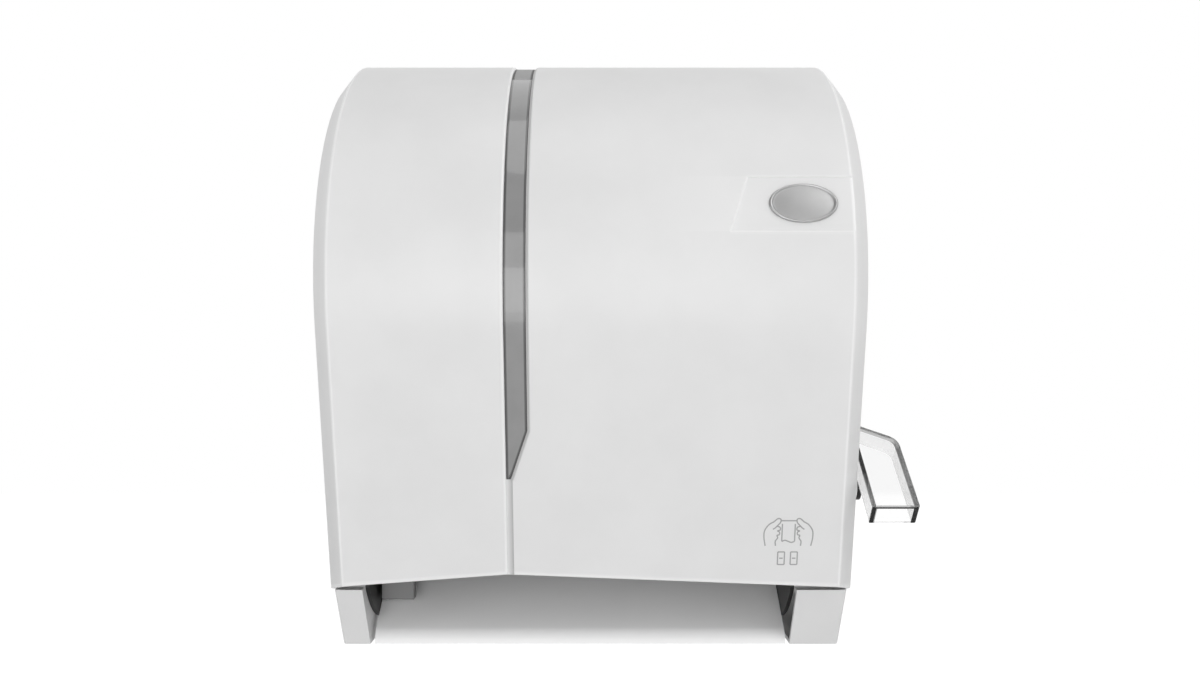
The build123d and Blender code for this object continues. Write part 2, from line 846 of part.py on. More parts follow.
def mechanism_plate(left_x, right_x):
    """A plate with a round front edge, inside the side frame's own outline."""
    with BuildPart() as blank:
        add(tube(mech_d, mech_z, left_x, right_x, mech_radius))
        extrude(
            frame_section(right_x, mech_inset), amount=right_x - left_x, mode=Mode.INTERSECT
        )
        with BuildSketch(side_plane(right_x)):
            with Locations((mech_rear_d, mech_z)):
                Rectangle(mech_radius, 3 * mech_radius, align=(Align.MAX, Align.CENTER))
        extrude(amount=right_x - left_x, mode=Mode.SUBTRACT)
        add(tube(feed_d, feed_z, left_x, right_x, feed_bush_radius), mode=Mode.SUBTRACT)
        add(tube(cradle_d, cradle_z, left_x, right_x, cradle_rod_radius), mode=Mode.SUBTRACT)
    return blank.part


with BuildPart() as left_mechanism_plate:
    add(mechanism_plate(left_plate_x, left_inside_x))

with BuildPart() as right_mechanism_plate:
    add(mechanism_plate(right_inside_x, right_plate_x))
    add(
        tube(lever_d, lever_z, right_inside_x, right_plate_x, lever_bush_radius),
        mode=Mode.SUBTRACT,
    )

# Bushes: a sleeve through the plate and a flange on its outboard face.
left_flange_x = left_plate_x - bush_flange_thickness
right_flange_x = right_plate_x + bush_flange_thickness
feed_flange_radius = feed_bush_radius + bush_flange
lever_flange_radius = lever_bush_radius + bush_flange
feed_bore = feed_shaft_radius + running_clearance
lever_bore = lever_shaft_radius + running_clearance
with BuildPart() as feed_bushes:
    add(tube(feed_d, feed_z, left_plate_x, left_inside_x, feed_bush_radius, feed_bore))
    add(tube(feed_d, feed_z, left_flange_x, left_plate_x, feed_flange_radius, feed_bore))
    add(tube(feed_d, feed_z, right_inside_x, right_plate_x, feed_bush_radius, feed_bore))
    add(tube(feed_d, feed_z, right_plate_x, right_flange_x, feed_flange_radius, feed_bore))

with BuildPart() as lever_bushes:
    add(tube(lever_d, lever_z, right_inside_x, right_plate_x, lever_bush_radius, lever_bore))
    add(tube(lever_d, lever_z, right_plate_x, right_flange_x, lever_flange_radius, lever_bore))
    add(tube(lever_d, lever_z, lever_boss_x, chassis_half_width, lever_bush_radius, lever_bore))
    add(
        tube(
            lever_d,
            lever_z,
            lever_boss_x - bush_flange_thickness,
            lever_boss_x,
            lever_flange_radius,
            lever_bore,
        )
    )

# Paper chute ------------------------------------------------------------------------------------
chute_left_x = left_inside_x + side_gap
chute_right_x = right_inside_x - side_gap
chute_width = chute_right_x - chute_left_x
chute_corner_z = bottom_z - chute_nose_drop
chute_lip_depth = frame_bottom_depth - chute_lip_setback
chute_rise = tan(radians(chute_slope))
chute_crease_d = chute_lip_depth - (chute_floor_z - chute_corner_z) / chute_rise
rib_front_d = chute_lip_depth - chute_nose_radius
rib_front_z = chute_corner_z + chute_nose_radius * chute_rise
with BuildPart() as paper_chute:
    with BuildSketch(side_plane(chute_right_x)):
        with BuildLine():
            FilletPolyline(
                (plate_thickness + chute_wall / 2, chute_floor_z + chute_flange_height),
                (plate_thickness + chute_wall / 2, chute_floor_z),
                (chute_crease_d, chute_floor_z),
                (chute_lip_depth, chute_corner_z),
                (chute_lip_depth, chute_corner_z - 2 * chute_nose_radius),
                radius=[chute_bend_radius, chute_bend_radius, chute_nose_radius],
            )
        trace(line_width=chute_wall)
        with Locations((chute_lip_depth, bottom_z)):
            Rectangle(
                cover_width, cover_width, align=(Align.CENTER, Align.MAX), mode=Mode.SUBTRACT
            )
    extrude(amount=chute_width)
    for k in range(chute_rib_count):
        rib_x = chute_left_x + chute_width * (k + 0.5) / chute_rib_count
        with BuildSketch(side_plane(rib_x + chute_rib_thickness / 2)):
            Polygon(
                (plate_thickness, chute_floor_z),
                (chute_crease_d, chute_floor_z),
                (rib_front_d, rib_front_z),
                (rib_front_d - chute_rib_depth / chute_rise, rib_front_z),
                (chute_crease_d, chute_floor_z - chute_rib_depth),
                (plate_thickness, chute_floor_z - chute_rib_depth),
                align=None,
            )
        extrude(amount=chute_rib_thickness)

guide_front_d = chute_lip_depth - guide_setback
guide_bottom_z = bottom_z + guide_rise
with BuildPart() as edge_guide:
    with BuildSketch(side_plane(left_inside_x + guide_inner_gap + guide_width)):
        with Locations((guide_front_d, guide_bottom_z)):
            Rectangle(guide_depth, guide_height, align=(Align.MAX, Align.MIN))
    extrude(amount=guide_width)
    fillet(edge_guide.edges().filter_by(Axis.X).group_by(Axis.Z)[0], small_round)
    with BuildSketch(side_plane(left_inside_x + guide_inner_gap)):
        with Locations((guide_front_d, guide_bottom_z + guide_height)):
            Rectangle(guide_depth, guide_tab_height, align=(Align.MAX, Align.MAX))
    extrude(amount=guide_inner_gap)

# Feed roller ------------------------------------------------------------------------------------
drum_left_x = paper_left_x + roller_end_gap
drum_right_x = paper_right_x - roller_end_gap
drum_radius = feed_radius - feed_sleeve_wall
cup_x = gear_x + gear_thickness
cup_end_x = cup_x + clutch_cup_length
with BuildPart() as feed_shaft:
    add(
        tube(feed_d, feed_z, left_flange_x - shaft_nose, cup_end_x + shaft_nose, feed_shaft_radius)
    )

with BuildPart() as feed_drum:
    add(tube(feed_d, feed_z, drum_left_x, drum_right_x, drum_radius, feed_shaft_radius))

with BuildPart() as feed_sleeves:
    sleeve_pitch = (drum_right_x - drum_left_x) / feed_sleeve_count
    for k in range(feed_sleeve_count):
        middle_x = drum_left_x + sleeve_pitch * (k + 0.5)
        add(
            tube(
                feed_d,
                feed_z,
                middle_x - feed_sleeve_width / 2,
                middle_x + feed_sleeve_width / 2,
                feed_radius,
                drum_radius,
            )
        )

# Gears ------------------------------------------------------------------------------------------
pinion_tip = pinion_radius + pinion_addendum * gear_module
pinion_root = pinion_radius - (sector_addendum + root_clearance) * gear_module
pinion_tooth = tooth_outline(pinion_radius, pinion_teeth, pinion_tip, pinion_root)
sector_tip = sector_radius + sector_addendum * gear_module
sector_root = sector_radius - (pinion_addendum + root_clearance) * gear_module
sector_tooth = tooth_outline(sector_radius, sector_teeth, sector_tip, sector_root)
with BuildPart() as drive_pinion:
    with BuildSketch(side_plane(gear_x + gear_thickness)):
        with Locations((feed_d, feed_z)):
            Circle(pinion_root)
            with PolarLocations(0, pinion_teeth, start_angle=pivot_direction + 180 / pinion_teeth):
                Polygon(*pinion_tooth, align=None)
            Circle(feed_bore, mode=Mode.SUBTRACT)
    extrude(amount=gear_thickness)
    add(
        tube(
            feed_d, feed_z, cup_x, cup_end_x, clutch_cup_radius, clutch_cup_radius - clutch_cup_wall
        )
    )

clutch_hub_x = cup_x + passing_gap
with BuildPart() as clutch_hub:
    add(tube(feed_d, feed_z, clutch_hub_x, cup_end_x, clutch_hub_radius, feed_shaft_radius))

with BuildPart() as clutch_rollers:
    with BuildSketch(side_plane(cup_end_x)):
        with Locations((feed_d, feed_z)):
            with PolarLocations(clutch_hub_radius + clutch_roller_radius, clutch_roller_count):
                Circle(clutch_roller_radius)
    extrude(amount=cup_end_x - clutch_hub_x)


def pie(radius, start, end):
    """A slice of a disc about the lever axis, between two angles."""
    with BuildSketch(Plane.XY) as slice_sketch:
        with BuildLine():
            rim = CenterArc((0, 0), radius, start, end - start)
            Line((0, 0), rim @ 0)
            Line(rim @ 1, (0, 0))
        make_face()
    return slice_sketch.sketch


sector_count = sector_last_tooth + sector_spare_teeth + 1
spoke_angle = degrees(sector_spoke / (sector_root - sector_rim))
with BuildPart() as sector_gear:
    with BuildSketch(side_plane(gear_x + gear_thickness)):
        with Locations((lever_d, lever_z)):
            add(pie(sector_root, sector_start, sector_end))
            add(
                pie(sector_root - sector_rim, sector_start + spoke_angle, sector_end - spoke_angle),
                mode=Mode.SUBTRACT,
            )
            Circle(sector_hub_radius)
            with PolarLocations(
                0,
                sector_count,
                start_angle=mesh_angle - sector_spare_teeth * tooth_angle,
                angular_range=(sector_count - 1) * tooth_angle,
                endpoint=True,
            ):
                Polygon(*sector_tooth, align=None)
            Circle(lever_shaft_radius, mode=Mode.SUBTRACT)
    extrude(amount=gear_thickness)
    add(
        tube(
            lever_d,
            lever_z,
            right_flange_x + passing_gap,
            gear_x + gear_thickness + shaft_nose,
            sector_hub_radius,
            lever_shaft_radius,
        )
    )

# Lever ------------------------------------------------------------------------------------------
lever_end_x = lever_x + lever_boss_length
with BuildPart() as lever_shaft:
    add(tube(lever_d, lever_z, right_inside_x - shaft_nose, lever_end_x, lever_shaft_radius))

slope = radians(lever_slope)
tray_plane = Plane(
    origin=(0, -lever_reach, lever_tip_z),
    x_dir=(1, 0, 0),
    z_dir=(0, -sin(slope), cos(slope)),
)
root_d = lever_reach - lever_root_length * cos(slope)
root_z = lever_tip_z + lever_root_length * sin(slope)
front_top_z = lever_tip_z + (lever_reach - lever_arm_front_d) * tan(slope)
with BuildPart() as lever:
    with BuildSketch(tray_plane) as tray_outline:
        Polygon(
            (lever_x, 0),
            (lever_outer_x, 0),
            (lever_outer_x, lever_side_length),
            (lever_x, lever_root_length),
            align=None,
        )
        outer_corners = tray_outline.vertices().group_by(Axis.X)[-1]
        fillet(outer_corners.sort_by(Axis.Y)[-1], lever_shoulder_radius)
        side_ends = tray_outline.vertices().group_by(Axis.X)[-1]
        fillet(side_ends.sort_by(Axis.Y)[0], lever_tip_radius)
    extrude(amount=-lever_tray_depth)
    tray_face = lever.faces().filter_by(lambda f: f.normal_at().dot(tray_plane.z_dir) < -0.99)
    offset(amount=-lever_wall, openings=tray_face)
    with BuildSketch(side_plane(lever_x + lever_wall)) as arm_side:
        Polygon(
            (lever_d, lever_z + lever_boss_radius - lever_arm_tuck),
            (root_d, root_z),
            (lever_arm_front_d, front_top_z),
            (lever_arm_front_d, lever_arm_bottom_z),
            (lever_d, lever_z - lever_boss_radius + lever_arm_tuck),
            align=None,
        )
        arm_front = arm_side.vertices().group_by(Axis.X)[-1]
        fillet(arm_front.sort_by(Axis.Y)[0], lever_arm_corner)
    extrude(amount=lever_wall)
    add(tube(lever_d, lever_z, lever_x, lever_end_x, lever_boss_radius))
    add(tube(lever_d, lever_z, lever_x, lever_end_x, lever_shaft_radius), mode=Mode.SUBTRACT)

with BuildPart() as lever_screw:
    washer_end_x = lever_end_x + lever_washer_thickness
    add(tube(lever_d, lever_z, washer_end_x, washer_end_x + lever_screw_height, lever_screw_radius))
    fillet(lever_screw.edges().group_by(Axis.X)[-1], lever_screw_round)
    with BuildSketch(side_plane(washer_end_x + lever_screw_height)):
        with Locations((lever_d, lever_z)):
            Rectangle(cross_slot_length, screw_slot_width)
            Rectangle(screw_slot_width, cross_slot_length)
    extrude(amount=screw_slot_depth, mode=Mode.SUBTRACT)

with BuildPart() as lever_washer:
    add(tube(lever_d, lever_z, lever_end_x, washer_end_x, lever_washer_radius))

# The coil stands on the frame's bush flange, clear of the shaft and the sector's hub.
spring_end_x = lever_boss_x - bush_flange_thickness - spring_wire_radius - side_gap
spring_start_x = spring_end_x - spring_pitch * spring_turns
with BuildPart() as lever_spring:
    add(
        coil_spring(
            (spring_start_x, -lever_d, lever_z),
            (1, 0, 0),
            spring_pitch,
            spring_turns,
            spring_coil_radius,
            spring_wire_radius,
        )
    )

# Pinch roller -----------------------------------------------------------------------------------
with BuildPart() as pinch_shaft:
    add(
        tube(
            pinch_d,
            pinch_z,
            drum_left_x - cradle_arm_gap - cradle_arm_thickness - shaft_nose,
            drum_right_x + cradle_arm_gap + cradle_arm_thickness + shaft_nose,
            pinch_shaft_radius,
        )
    )

with BuildPart() as pinch_drum:
    add(tube(pinch_d, pinch_z, drum_left_x, drum_right_x, pinch_radius, pinch_shaft_radius))

arm_angle = degrees(atan2(pinch_z - cradle_z, pinch_d - cradle_d))
arm_length = hypot(pinch_d - cradle_d, pinch_z - cradle_z)
left_arm_x = drum_left_x - cradle_arm_gap
right_arm_x = drum_right_x + cradle_arm_gap + cradle_arm_thickness
with BuildPart() as pinch_cradle:
    for arm_x in (left_arm_x, right_arm_x):
        with BuildSketch(side_plane(arm_x)):
            with Locations(((cradle_d + pinch_d) / 2, (cradle_z + pinch_z) / 2)):
                SlotCenterToCenter(arm_length, 2 * cradle_arm_radius, rotation=arm_angle)
            with Locations((cradle_d, cradle_z)):
                Circle(cradle_rod_radius + running_clearance, mode=Mode.SUBTRACT)
            with Locations((pinch_d, pinch_z)):
                Circle(pinch_shaft_radius + running_clearance, mode=Mode.SUBTRACT)
        extrude(amount=cradle_arm_thickness)
    with BuildSketch(side_plane(right_arm_x - cradle_arm_thickness)):
        with Locations((cradle_d + cradle_bar_lead, cradle_z - cradle_bar_drop)):
            Rectangle(cradle_bar_thickness, cradle_bar_height, align=(Align.MIN, Align.MAX))
    extrude(amount=right_arm_x - cradle_arm_thickness - left_arm_x)

with BuildPart() as cradle_rod:
    add(tube(cradle_d, cradle_z, left_plate_x, right_plate_x, cradle_rod_radius))

cradle_spring_length = cradle_spring_pitch * cradle_spring_turns
left_spring_x = left_arm_x - cradle_arm_thickness - cradle_spring_gap - cradle_spring_length
with BuildPart() as cradle_springs:
    for start_x in (left_spring_x, right_arm_x + cradle_spring_gap):
        add(
            coil_spring(
                (start_x, -cradle_d, cradle_z),
                (1, 0, 0),
                cradle_spring_pitch,
                cradle_spring_turns,
                cradle_spring_radius,
                cradle_spring_wire,
            )
        )

# Tear bar ---------------------------------------------------------------------------------------
tear_width = right_inside_x - left_inside_x
tooth_count = int(tear_width // tear_tooth_pitch)
with BuildPart() as tear_bar:
    with BuildSketch(Plane.XZ.offset(tear_blade_d)):
        with Locations(((left_inside_x + right_inside_x) / 2, tear_blade_top_z)):
            Rectangle(
                tear_width, tear_blade_top_z - tear_blade_tip_z, align=(Align.CENTER, Align.MAX)
            )
        with Locations(((left_inside_x + right_inside_x) / 2, tear_blade_tip_z)):
            with GridLocations(tear_tooth_pitch, 1, tooth_count, 1):
                Polygon(
                    (-tear_tooth_pitch / 2, 0),
                    (tear_tooth_pitch / 2, 0),
                    (0, tear_tooth_depth),
                    align=None,
                    mode=Mode.SUBTRACT,
                )
    extrude(amount=tear_blade_thickness)

with BuildPart() as tear_bar_holder:
    with BuildSketch(side_plane(right_inside_x)):
        with Locations((tear_blade_d + tear_blade_thickness, tear_blade_top_z)):
            Rectangle(holder_depth, holder_height, align=(Align.MIN, Align.MAX))
    extrude(amount=tear_width)
    fillet(tear_bar_holder.edges().filter_by(Axis.X).group_by(Axis.Y)[0], small_round)

# Roll holder ------------------------------------------------------------------------------------
left_hub_x = paper_left_x
right_hub_x = paper_right_x
left_arm_face = left_hub_x - hub_flange_thickness - passing_gap
right_arm_face = right_hub_x + hub_flange_thickness + passing_gap
arm_root_bottom = roll_z - arm_root_height / 2
arm_root_top = roll_z + arm_root_height / 2
foot_front_d = plate_thickness + arm_foot_thickness
with BuildPart() as left_roll_arm:
    with BuildSketch(side_plane(left_arm_face)):
        Polygon(
            (plate_thickness, arm_root_top),
            (plate_thickness, arm_root_bottom),
            (roll_d, roll_z - arm_nose_radius),
            (roll_d, roll_z + arm_nose_radius),
            align=None,
        )
        offset(amount=-arm_window_margin, mode=Mode.SUBTRACT)
        with Locations((roll_d, roll_z)):
            Circle(arm_nose_radius)
            Circle(hub_pin_radius, mode=Mode.SUBTRACT)
    extrude(amount=arm_thickness)
    with BuildSketch(side_plane(left_arm_face)):
        with Locations((plate_thickness, roll_z)):
            Rectangle(arm_foot_thickness, arm_root_height, align=(Align.MIN, Align.CENTER))
    extrude(amount=arm_foot_width)

barrel_x = right_arm_face + arm_thickness / 2
spring_room = arm_spring_pitch * arm_spring_turns + 4 * arm_spring_wire
arm_low_z = arm_root_bottom + arm_knuckle_height + passing_gap
arm_high_z = arm_root_top - arm_knuckle_height - spring_room
with BuildPart() as right_arm_bracket:
    with BuildSketch(Plane.XZ.offset(plate_thickness)):
        with Locations((barrel_x, roll_z)):
            Rectangle(arm_foot_width + 2 * arm_barrel_radius, arm_root_height)
    extrude(amount=arm_foot_thickness)
    for knuckle_z in (arm_root_bottom, arm_root_top - arm_knuckle_height):
        with BuildSketch(Plane.XY.offset(knuckle_z)):
            with Locations((barrel_x, -arm_pivot_d)):
                Circle(arm_barrel_radius)
                Rectangle(
                    2 * arm_barrel_radius,
                    arm_pivot_d - foot_front_d,
                    align=(Align.CENTER, Align.MIN),
                )
                Circle(arm_pivot_radius, mode=Mode.SUBTRACT)
        extrude(amount=arm_knuckle_height)

with BuildPart() as right_arm_pin:
    with BuildSketch(Plane.XY.offset(arm_root_bottom)):
        with Locations((barrel_x, -arm_pivot_d)):
            Circle(arm_pivot_radius)
    extrude(amount=arm_root_height)

with BuildPart() as right_roll_arm:
    with BuildSketch(side_plane(right_arm_face + arm_thickness)):
        Polygon(
            (arm_pivot_d, arm_low_z),
            (roll_d, roll_z - arm_nose_radius),
            (roll_d, roll_z + arm_nose_radius),
            (arm_pivot_d, arm_high_z),
            align=None,
        )
        with Locations((roll_d, roll_z)):
            Circle(arm_nose_radius)
            Circle(hub_pin_radius, mode=Mode.SUBTRACT)
    extrude(amount=arm_thickness)
    with BuildSketch(Plane.XY.offset(arm_low_z)):
        with Locations((barrel_x, -arm_pivot_d)):
            Circle(arm_barrel_radius)
    extrude(amount=arm_high_z - arm_low_z)
    with BuildSketch(Plane.XY.offset(arm_root_bottom)):
        with Locations((barrel_x, -arm_pivot_d)):
            Circle(arm_pivot_radius + running_clearance)
    extrude(amount=arm_root_height, mode=Mode.SUBTRACT)

with BuildPart() as right_arm_spring:
    add(
        coil_spring(
            (barrel_x, -arm_pivot_d, arm_high_z + 2 * arm_spring_wire),
            (0, 0, 1),
            arm_spring_pitch,
            arm_spring_turns,
            arm_spring_radius,
            arm_spring_wire,
        )
    )

hub_plane = Plane(origin=(0, -roll_d, roll_z), x_dir=(1, 0, 0), z_dir=(0, -1, 0))
hub_axis = Axis((0, -roll_d, roll_z), (1, 0, 0))
hub_bore = hub_pin_radius + running_clearance


def core_hub(face_x, inward):
    """A flanged cone that centres the paper core; `inward` is +1 or -1 along X."""
    with BuildPart() as hub:
        with BuildSketch(hub_plane):
            Polygon(
                (face_x - inward * hub_flange_thickness, hub_bore),
                (face_x - inward * hub_flange_thickness, hub_flange_radius),
                (face_x, hub_flange_radius),
                (face_x, hub_mouth_radius),
                (face_x + inward * hub_length, hub_nose_radius),
                (face_x + inward * hub_length, hub_bore),
                align=None,
            )
        revolve(axis=hub_axis)
    return hub.part


def hub_pin(arm_x, face_x, inward):
    """Pin fixed in a roll arm, with a head that keeps the core hub on."""
    head_x = face_x + inward * (hub_length + passing_gap)
    end_x = head_x + inward * hub_pin_head_thickness
    with BuildPart() as pin:
        with BuildSketch(hub_plane):
            Polygon(
                (arm_x, 0),
                (arm_x, hub_pin_radius),
                (head_x, hub_pin_radius),
                (head_x, hub_pin_head_radius),
                (end_x, hub_pin_head_radius),
                (end_x, 0),
                align=None,
            )
        revolve(axis=hub_axis)
    return pin.part


with BuildPart() as left_core_hub:
    add(core_hub(left_hub_x, 1))

with BuildPart() as right_core_hub:
    add(core_hub(right_hub_x, -1))

with BuildPart() as left_hub_pin:
    add(hub_pin(left_arm_face - arm_thickness, left_hub_x, 1))

with BuildPart() as right_hub_pin:
    add(hub_pin(right_arm_face + arm_thickness, right_hub_x, -1))

# Screws -----------------------------------------------------------------------------------------


def screw_heads(plane, places):
    """Slotted screw heads that stand on a plane, at places given in the plane's own axes."""
    with BuildPart() as heads:
        with BuildSketch(plane):
            with Locations(*places):
                Circle(screw_head_radius)
        extrude(amount=screw_head_height)
        with BuildSketch(plane.offset(screw_head_height)):
            with Locations(*places):
                Rectangle(2 * screw_head_radius, screw_slot_width)
        extrude(amount=-screw_slot_depth, mode=Mode.SUBTRACT)
    return heads.part


frame_screw_z = (frame_top_z - 3 * screw_margin, hinge_z + 2 * screw_margin)
left_frame_x = left_plate_x - left_frame_width / 2
right_frame_x = right_plate_x + right_frame_width / 2
with BuildPart() as frame_screws:
    add(
        screw_heads(
            Plane.XZ.offset(plate_thickness + frame_wall),
            [(x, z) for x in (left_frame_x, right_frame_x) for z in frame_screw_z],
        )
    )

arm_screw_z = (arm_root_bottom + screw_margin, arm_root_top - screw_margin)
left_foot_x = left_arm_face - arm_foot_width / 2 - arm_thickness / 2
right_foot_x = barrel_x - arm_barrel_radius - arm_foot_width / 4
with BuildPart() as arm_screws:
    add(
        screw_heads(
            Plane.XZ.offset(foot_front_d),
            [(x, z) for x in (left_foot_x, right_foot_x) for z in arm_screw_z],
        )
    )

keeper_screw_z = keeper_top_z + keeper_foot_height / 2 + screw_margin / 3
with BuildPart() as keeper_screw:
    add(
        screw_heads(
            Plane.XZ.offset(plate_thickness + keeper_thickness),
            [(keeper_x - keeper_width / 2, keeper_screw_z)],
        )
    )

pieces = {
    "front_cover": front_cover,
    "window_strip": window_strip,
    "lock_trim": lock_trim,
    "badge": badge,
    "lock_housing": lock_housing,
    "lock_nut": lock_nut,
    "lock_plug": lock_plug,
    "lock_cam": lock_cam,
    "lock_keeper": lock_keeper,
    "back_plate": back_plate,
    "left_side_frame": left_side_frame,
    "right_side_frame": right_side_frame,
    "hinge_pins": hinge_pins,
    "left_mechanism_plate": left_mechanism_plate,
    "right_mechanism_plate": right_mechanism_plate,
    "feed_bushes": feed_bushes,
    "lever_bushes": lever_bushes,
    "paper_chute": paper_chute,
    "edge_guide": edge_guide,
    "feed_shaft": feed_shaft,
    "feed_drum": feed_drum,
    "feed_sleeves": feed_sleeves,
    "drive_pinion": drive_pinion,
    "clutch_hub": clutch_hub,
    "clutch_rollers": clutch_rollers,
    "sector_gear": sector_gear,
    "lever_shaft": lever_shaft,
    "lever": lever,
    "lever_washer": lever_washer,
    "lever_screw": lever_screw,
    "lever_spring": lever_spring,
    "lever_bumper": lever_bumper,
    "pinch_shaft": pinch_shaft,
    "pinch_drum": pinch_drum,
    "pinch_cradle": pinch_cradle,
    "cradle_rod": cradle_rod,
    "cradle_springs": cradle_springs,
    "tear_bar": tear_bar,
    "tear_bar_holder": tear_bar_holder,
    "left_roll_arm": left_roll_arm,
    "right_arm_bracket": right_arm_bracket,
    "right_arm_pin": right_arm_pin,
    "right_roll_arm": right_roll_arm,
    "right_arm_spring": right_arm_spring,
    "left_core_hub": left_core_hub,
    "right_core_hub": right_core_hub,
    "left_hub_pin": left_hub_pin,
    "right_hub_pin": right_hub_pin,
    "frame_screws": frame_screws,
    "arm_screws": arm_screws,
    "keeper_screw": keeper_screw,
}

os.makedirs("parts", exist_ok=True)
for name, piece in pieces.items():
    piece.part.label = name
    export_step(piece.part, f"parts/{name}.step")
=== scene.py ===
import math
import bmesh
import bpy
import numpy as np
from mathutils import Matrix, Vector


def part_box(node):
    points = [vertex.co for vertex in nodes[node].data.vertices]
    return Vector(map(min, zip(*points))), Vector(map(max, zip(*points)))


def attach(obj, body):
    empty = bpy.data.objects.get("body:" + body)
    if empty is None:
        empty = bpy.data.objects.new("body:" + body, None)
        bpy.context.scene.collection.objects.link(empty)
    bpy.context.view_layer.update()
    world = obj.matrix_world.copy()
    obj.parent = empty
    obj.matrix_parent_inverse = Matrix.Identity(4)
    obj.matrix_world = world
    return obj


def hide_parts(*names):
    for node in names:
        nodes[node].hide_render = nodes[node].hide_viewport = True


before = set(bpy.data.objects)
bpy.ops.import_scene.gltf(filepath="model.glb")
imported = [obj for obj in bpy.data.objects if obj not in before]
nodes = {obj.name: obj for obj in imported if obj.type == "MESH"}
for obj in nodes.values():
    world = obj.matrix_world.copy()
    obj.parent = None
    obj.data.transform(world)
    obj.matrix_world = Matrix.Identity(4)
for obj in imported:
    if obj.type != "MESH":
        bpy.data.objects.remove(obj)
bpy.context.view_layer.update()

scene = bpy.context.scene
scene.view_settings.view_transform = "Standard"

# Camera and studio --------------------------------------------------------------------------
# The dispenser hangs on nothing here: its wall is left out so that the back can be seen. A wide
# white floor lies well below it. The key lamp stands high on the right, and five weaker ones
# fill in from the front, from below, from above and from both sides.
MM = 0.001
CAMERA_DISTANCE, CAMERA_HEIGHT = 778.6, -10.0
LENS, SENSOR = 31.62, 36.0
SHIFT_X, SHIFT_Y = 0.00775, 0.01875
camera = bpy.data.objects.new("camera", bpy.data.cameras.new("camera"))
camera.location = (0, -CAMERA_DISTANCE * MM, CAMERA_HEIGHT * MM)
camera.rotation_euler = (math.radians(90), 0, 0)
camera.data.lens = LENS
camera.data.sensor_width = SENSOR
camera.data.shift_x = SHIFT_X
camera.data.shift_y = SHIFT_Y
scene.collection.objects.link(camera)
scene.camera = camera


class Socket:
    """A socket of a node tree that can be reckoned with: each operator adds its Math node."""

    def __init__(self, tree, port=None):
        self.tree = tree
        self.port = port

    def node(self, kind, settings, inputs, out=0):
        """Add a node of a kind: its settings first, then its sockets' values or links. Gives
        the output that `out` names or numbers, if the node has any."""
        made = self.tree.nodes.new("ShaderNode" + kind)
        for key, value in settings.items():
            setattr(made, key, value)
        for key, value in inputs.items():
            if isinstance(value, Socket):
                self.tree.links.new(value.port, made.inputs[key])
            else:
                made.inputs[key].default_value = value
        return Socket(self.tree, made.outputs[out] if made.outputs else None)

    def reckon(self, operation, first, second):
        return self.node("Math", {"operation": operation}, {0: first, 1: second})

    def __add__(self, other):
        return self.reckon("ADD", self, other)

    def __radd__(self, other):
        return self.reckon("ADD", other, self)

    def __sub__(self, other):
        return self.reckon("SUBTRACT", self, other)

    def __rsub__(self, other):
        return self.reckon("SUBTRACT", other, self)

    def __mul__(self, other):
        return self.reckon("MULTIPLY", self, other)

    def __rmul__(self, other):
        return self.reckon("MULTIPLY", other, self)

    def clear(self, low, high):
        """0 below low, 1 above high and a straight slope between them."""
        return self.node("MapRange", {}, {0: self, 1: low, 2: high})

    def tint(self, first, second):
        """Mix of two colours, with this socket as the share of the second."""
        mix = {"data_type": "RGBA", "clamp_factor": True}
        return self.node("Mix", mix, {0: self, 6: first, 7: second}, out=2)


def open_tree(owner):
    """Empty node tree of a material or world, as a Socket that has no port of its own."""
    owner.use_nodes = True
    owner.node_tree.nodes.clear()
    return Socket(owner.node_tree)


def grey(level, warmth=0.0):
    """Linear colour of a display grey from 0 to 255, with red up and blue down by warmth."""
    light = ((level / 255 + 0.055) / 1.055) ** 2.4
    return (light * (1 + warmth), light, light * (1 - warmth), 1)


# The world lights the object dimly. It is white to the camera, through clear plastic, and in
# gloss that mirrors what lies behind the object.
WORLD_LEVEL = 0.45
world = bpy.data.worlds.new("studio")
scene.world = world
sky = open_tree(world)
seen = sky.node("LightPath", {}, {}, out="Is Camera Ray")
mirrored = sky.node("LightPath", {}, {}, out="Is Glossy Ray")
through = sky.node("LightPath", {}, {}, out="Is Transmission Ray")
heading = sky.node("TexCoord", {}, {}, out="Object")
behind = sky.node("SeparateXYZ", {}, {"Vector": heading}, out="Y").clear(-0.05, 0.2)
white = (seen + through + mirrored * behind).clear(0, 1)
dim = sky.node("Background", {}, {"Color": (1, 1, 1, 1), "Strength": WORLD_LEVEL})
bright = sky.node("Background", {}, {"Color": (1, 1, 1, 1), "Strength": 1})
backdrop = sky.node("MixShader", {}, {0: white, 1: dim, 2: bright})
sky.node("OutputWorld", {}, {"Surface": backdrop})


def lamp(name, place, aim, size, power):
    """Square softbox of a size in metres that stands at a place and points at another."""
    made = bpy.data.objects.new(name, bpy.data.lights.new(name, "AREA"))
    made.data.size = size
    made.data.energy = power
    made.location = place
    made.rotation_euler = (Vector(aim) - Vector(place)).to_track_quat("-Z", "Y").to_euler()
    scene.collection.objects.link(made)


lamp("key", (1.3, -1.7, 1.5), (0, -0.1, 0), 1.2, 11)
lamp("front", (-0.2, -2.4, 0.2), (0, -0.1, 0), 1.6, 8)
lamp("low", (0, -2.0, -0.5), (0, -0.1, 0), 1.6, 10)
lamp("top", (0.2, -0.7, 2.0), (0, -0.1, 0), 1.2, 5)
lamp("left", (-2.1, -1.3, -0.2), (0, -0.1, -0.1), 0.8, 4)
lamp("right", (2.1, -1.3, -0.2), (0, -0.1, 0), 1.2, 2.5)

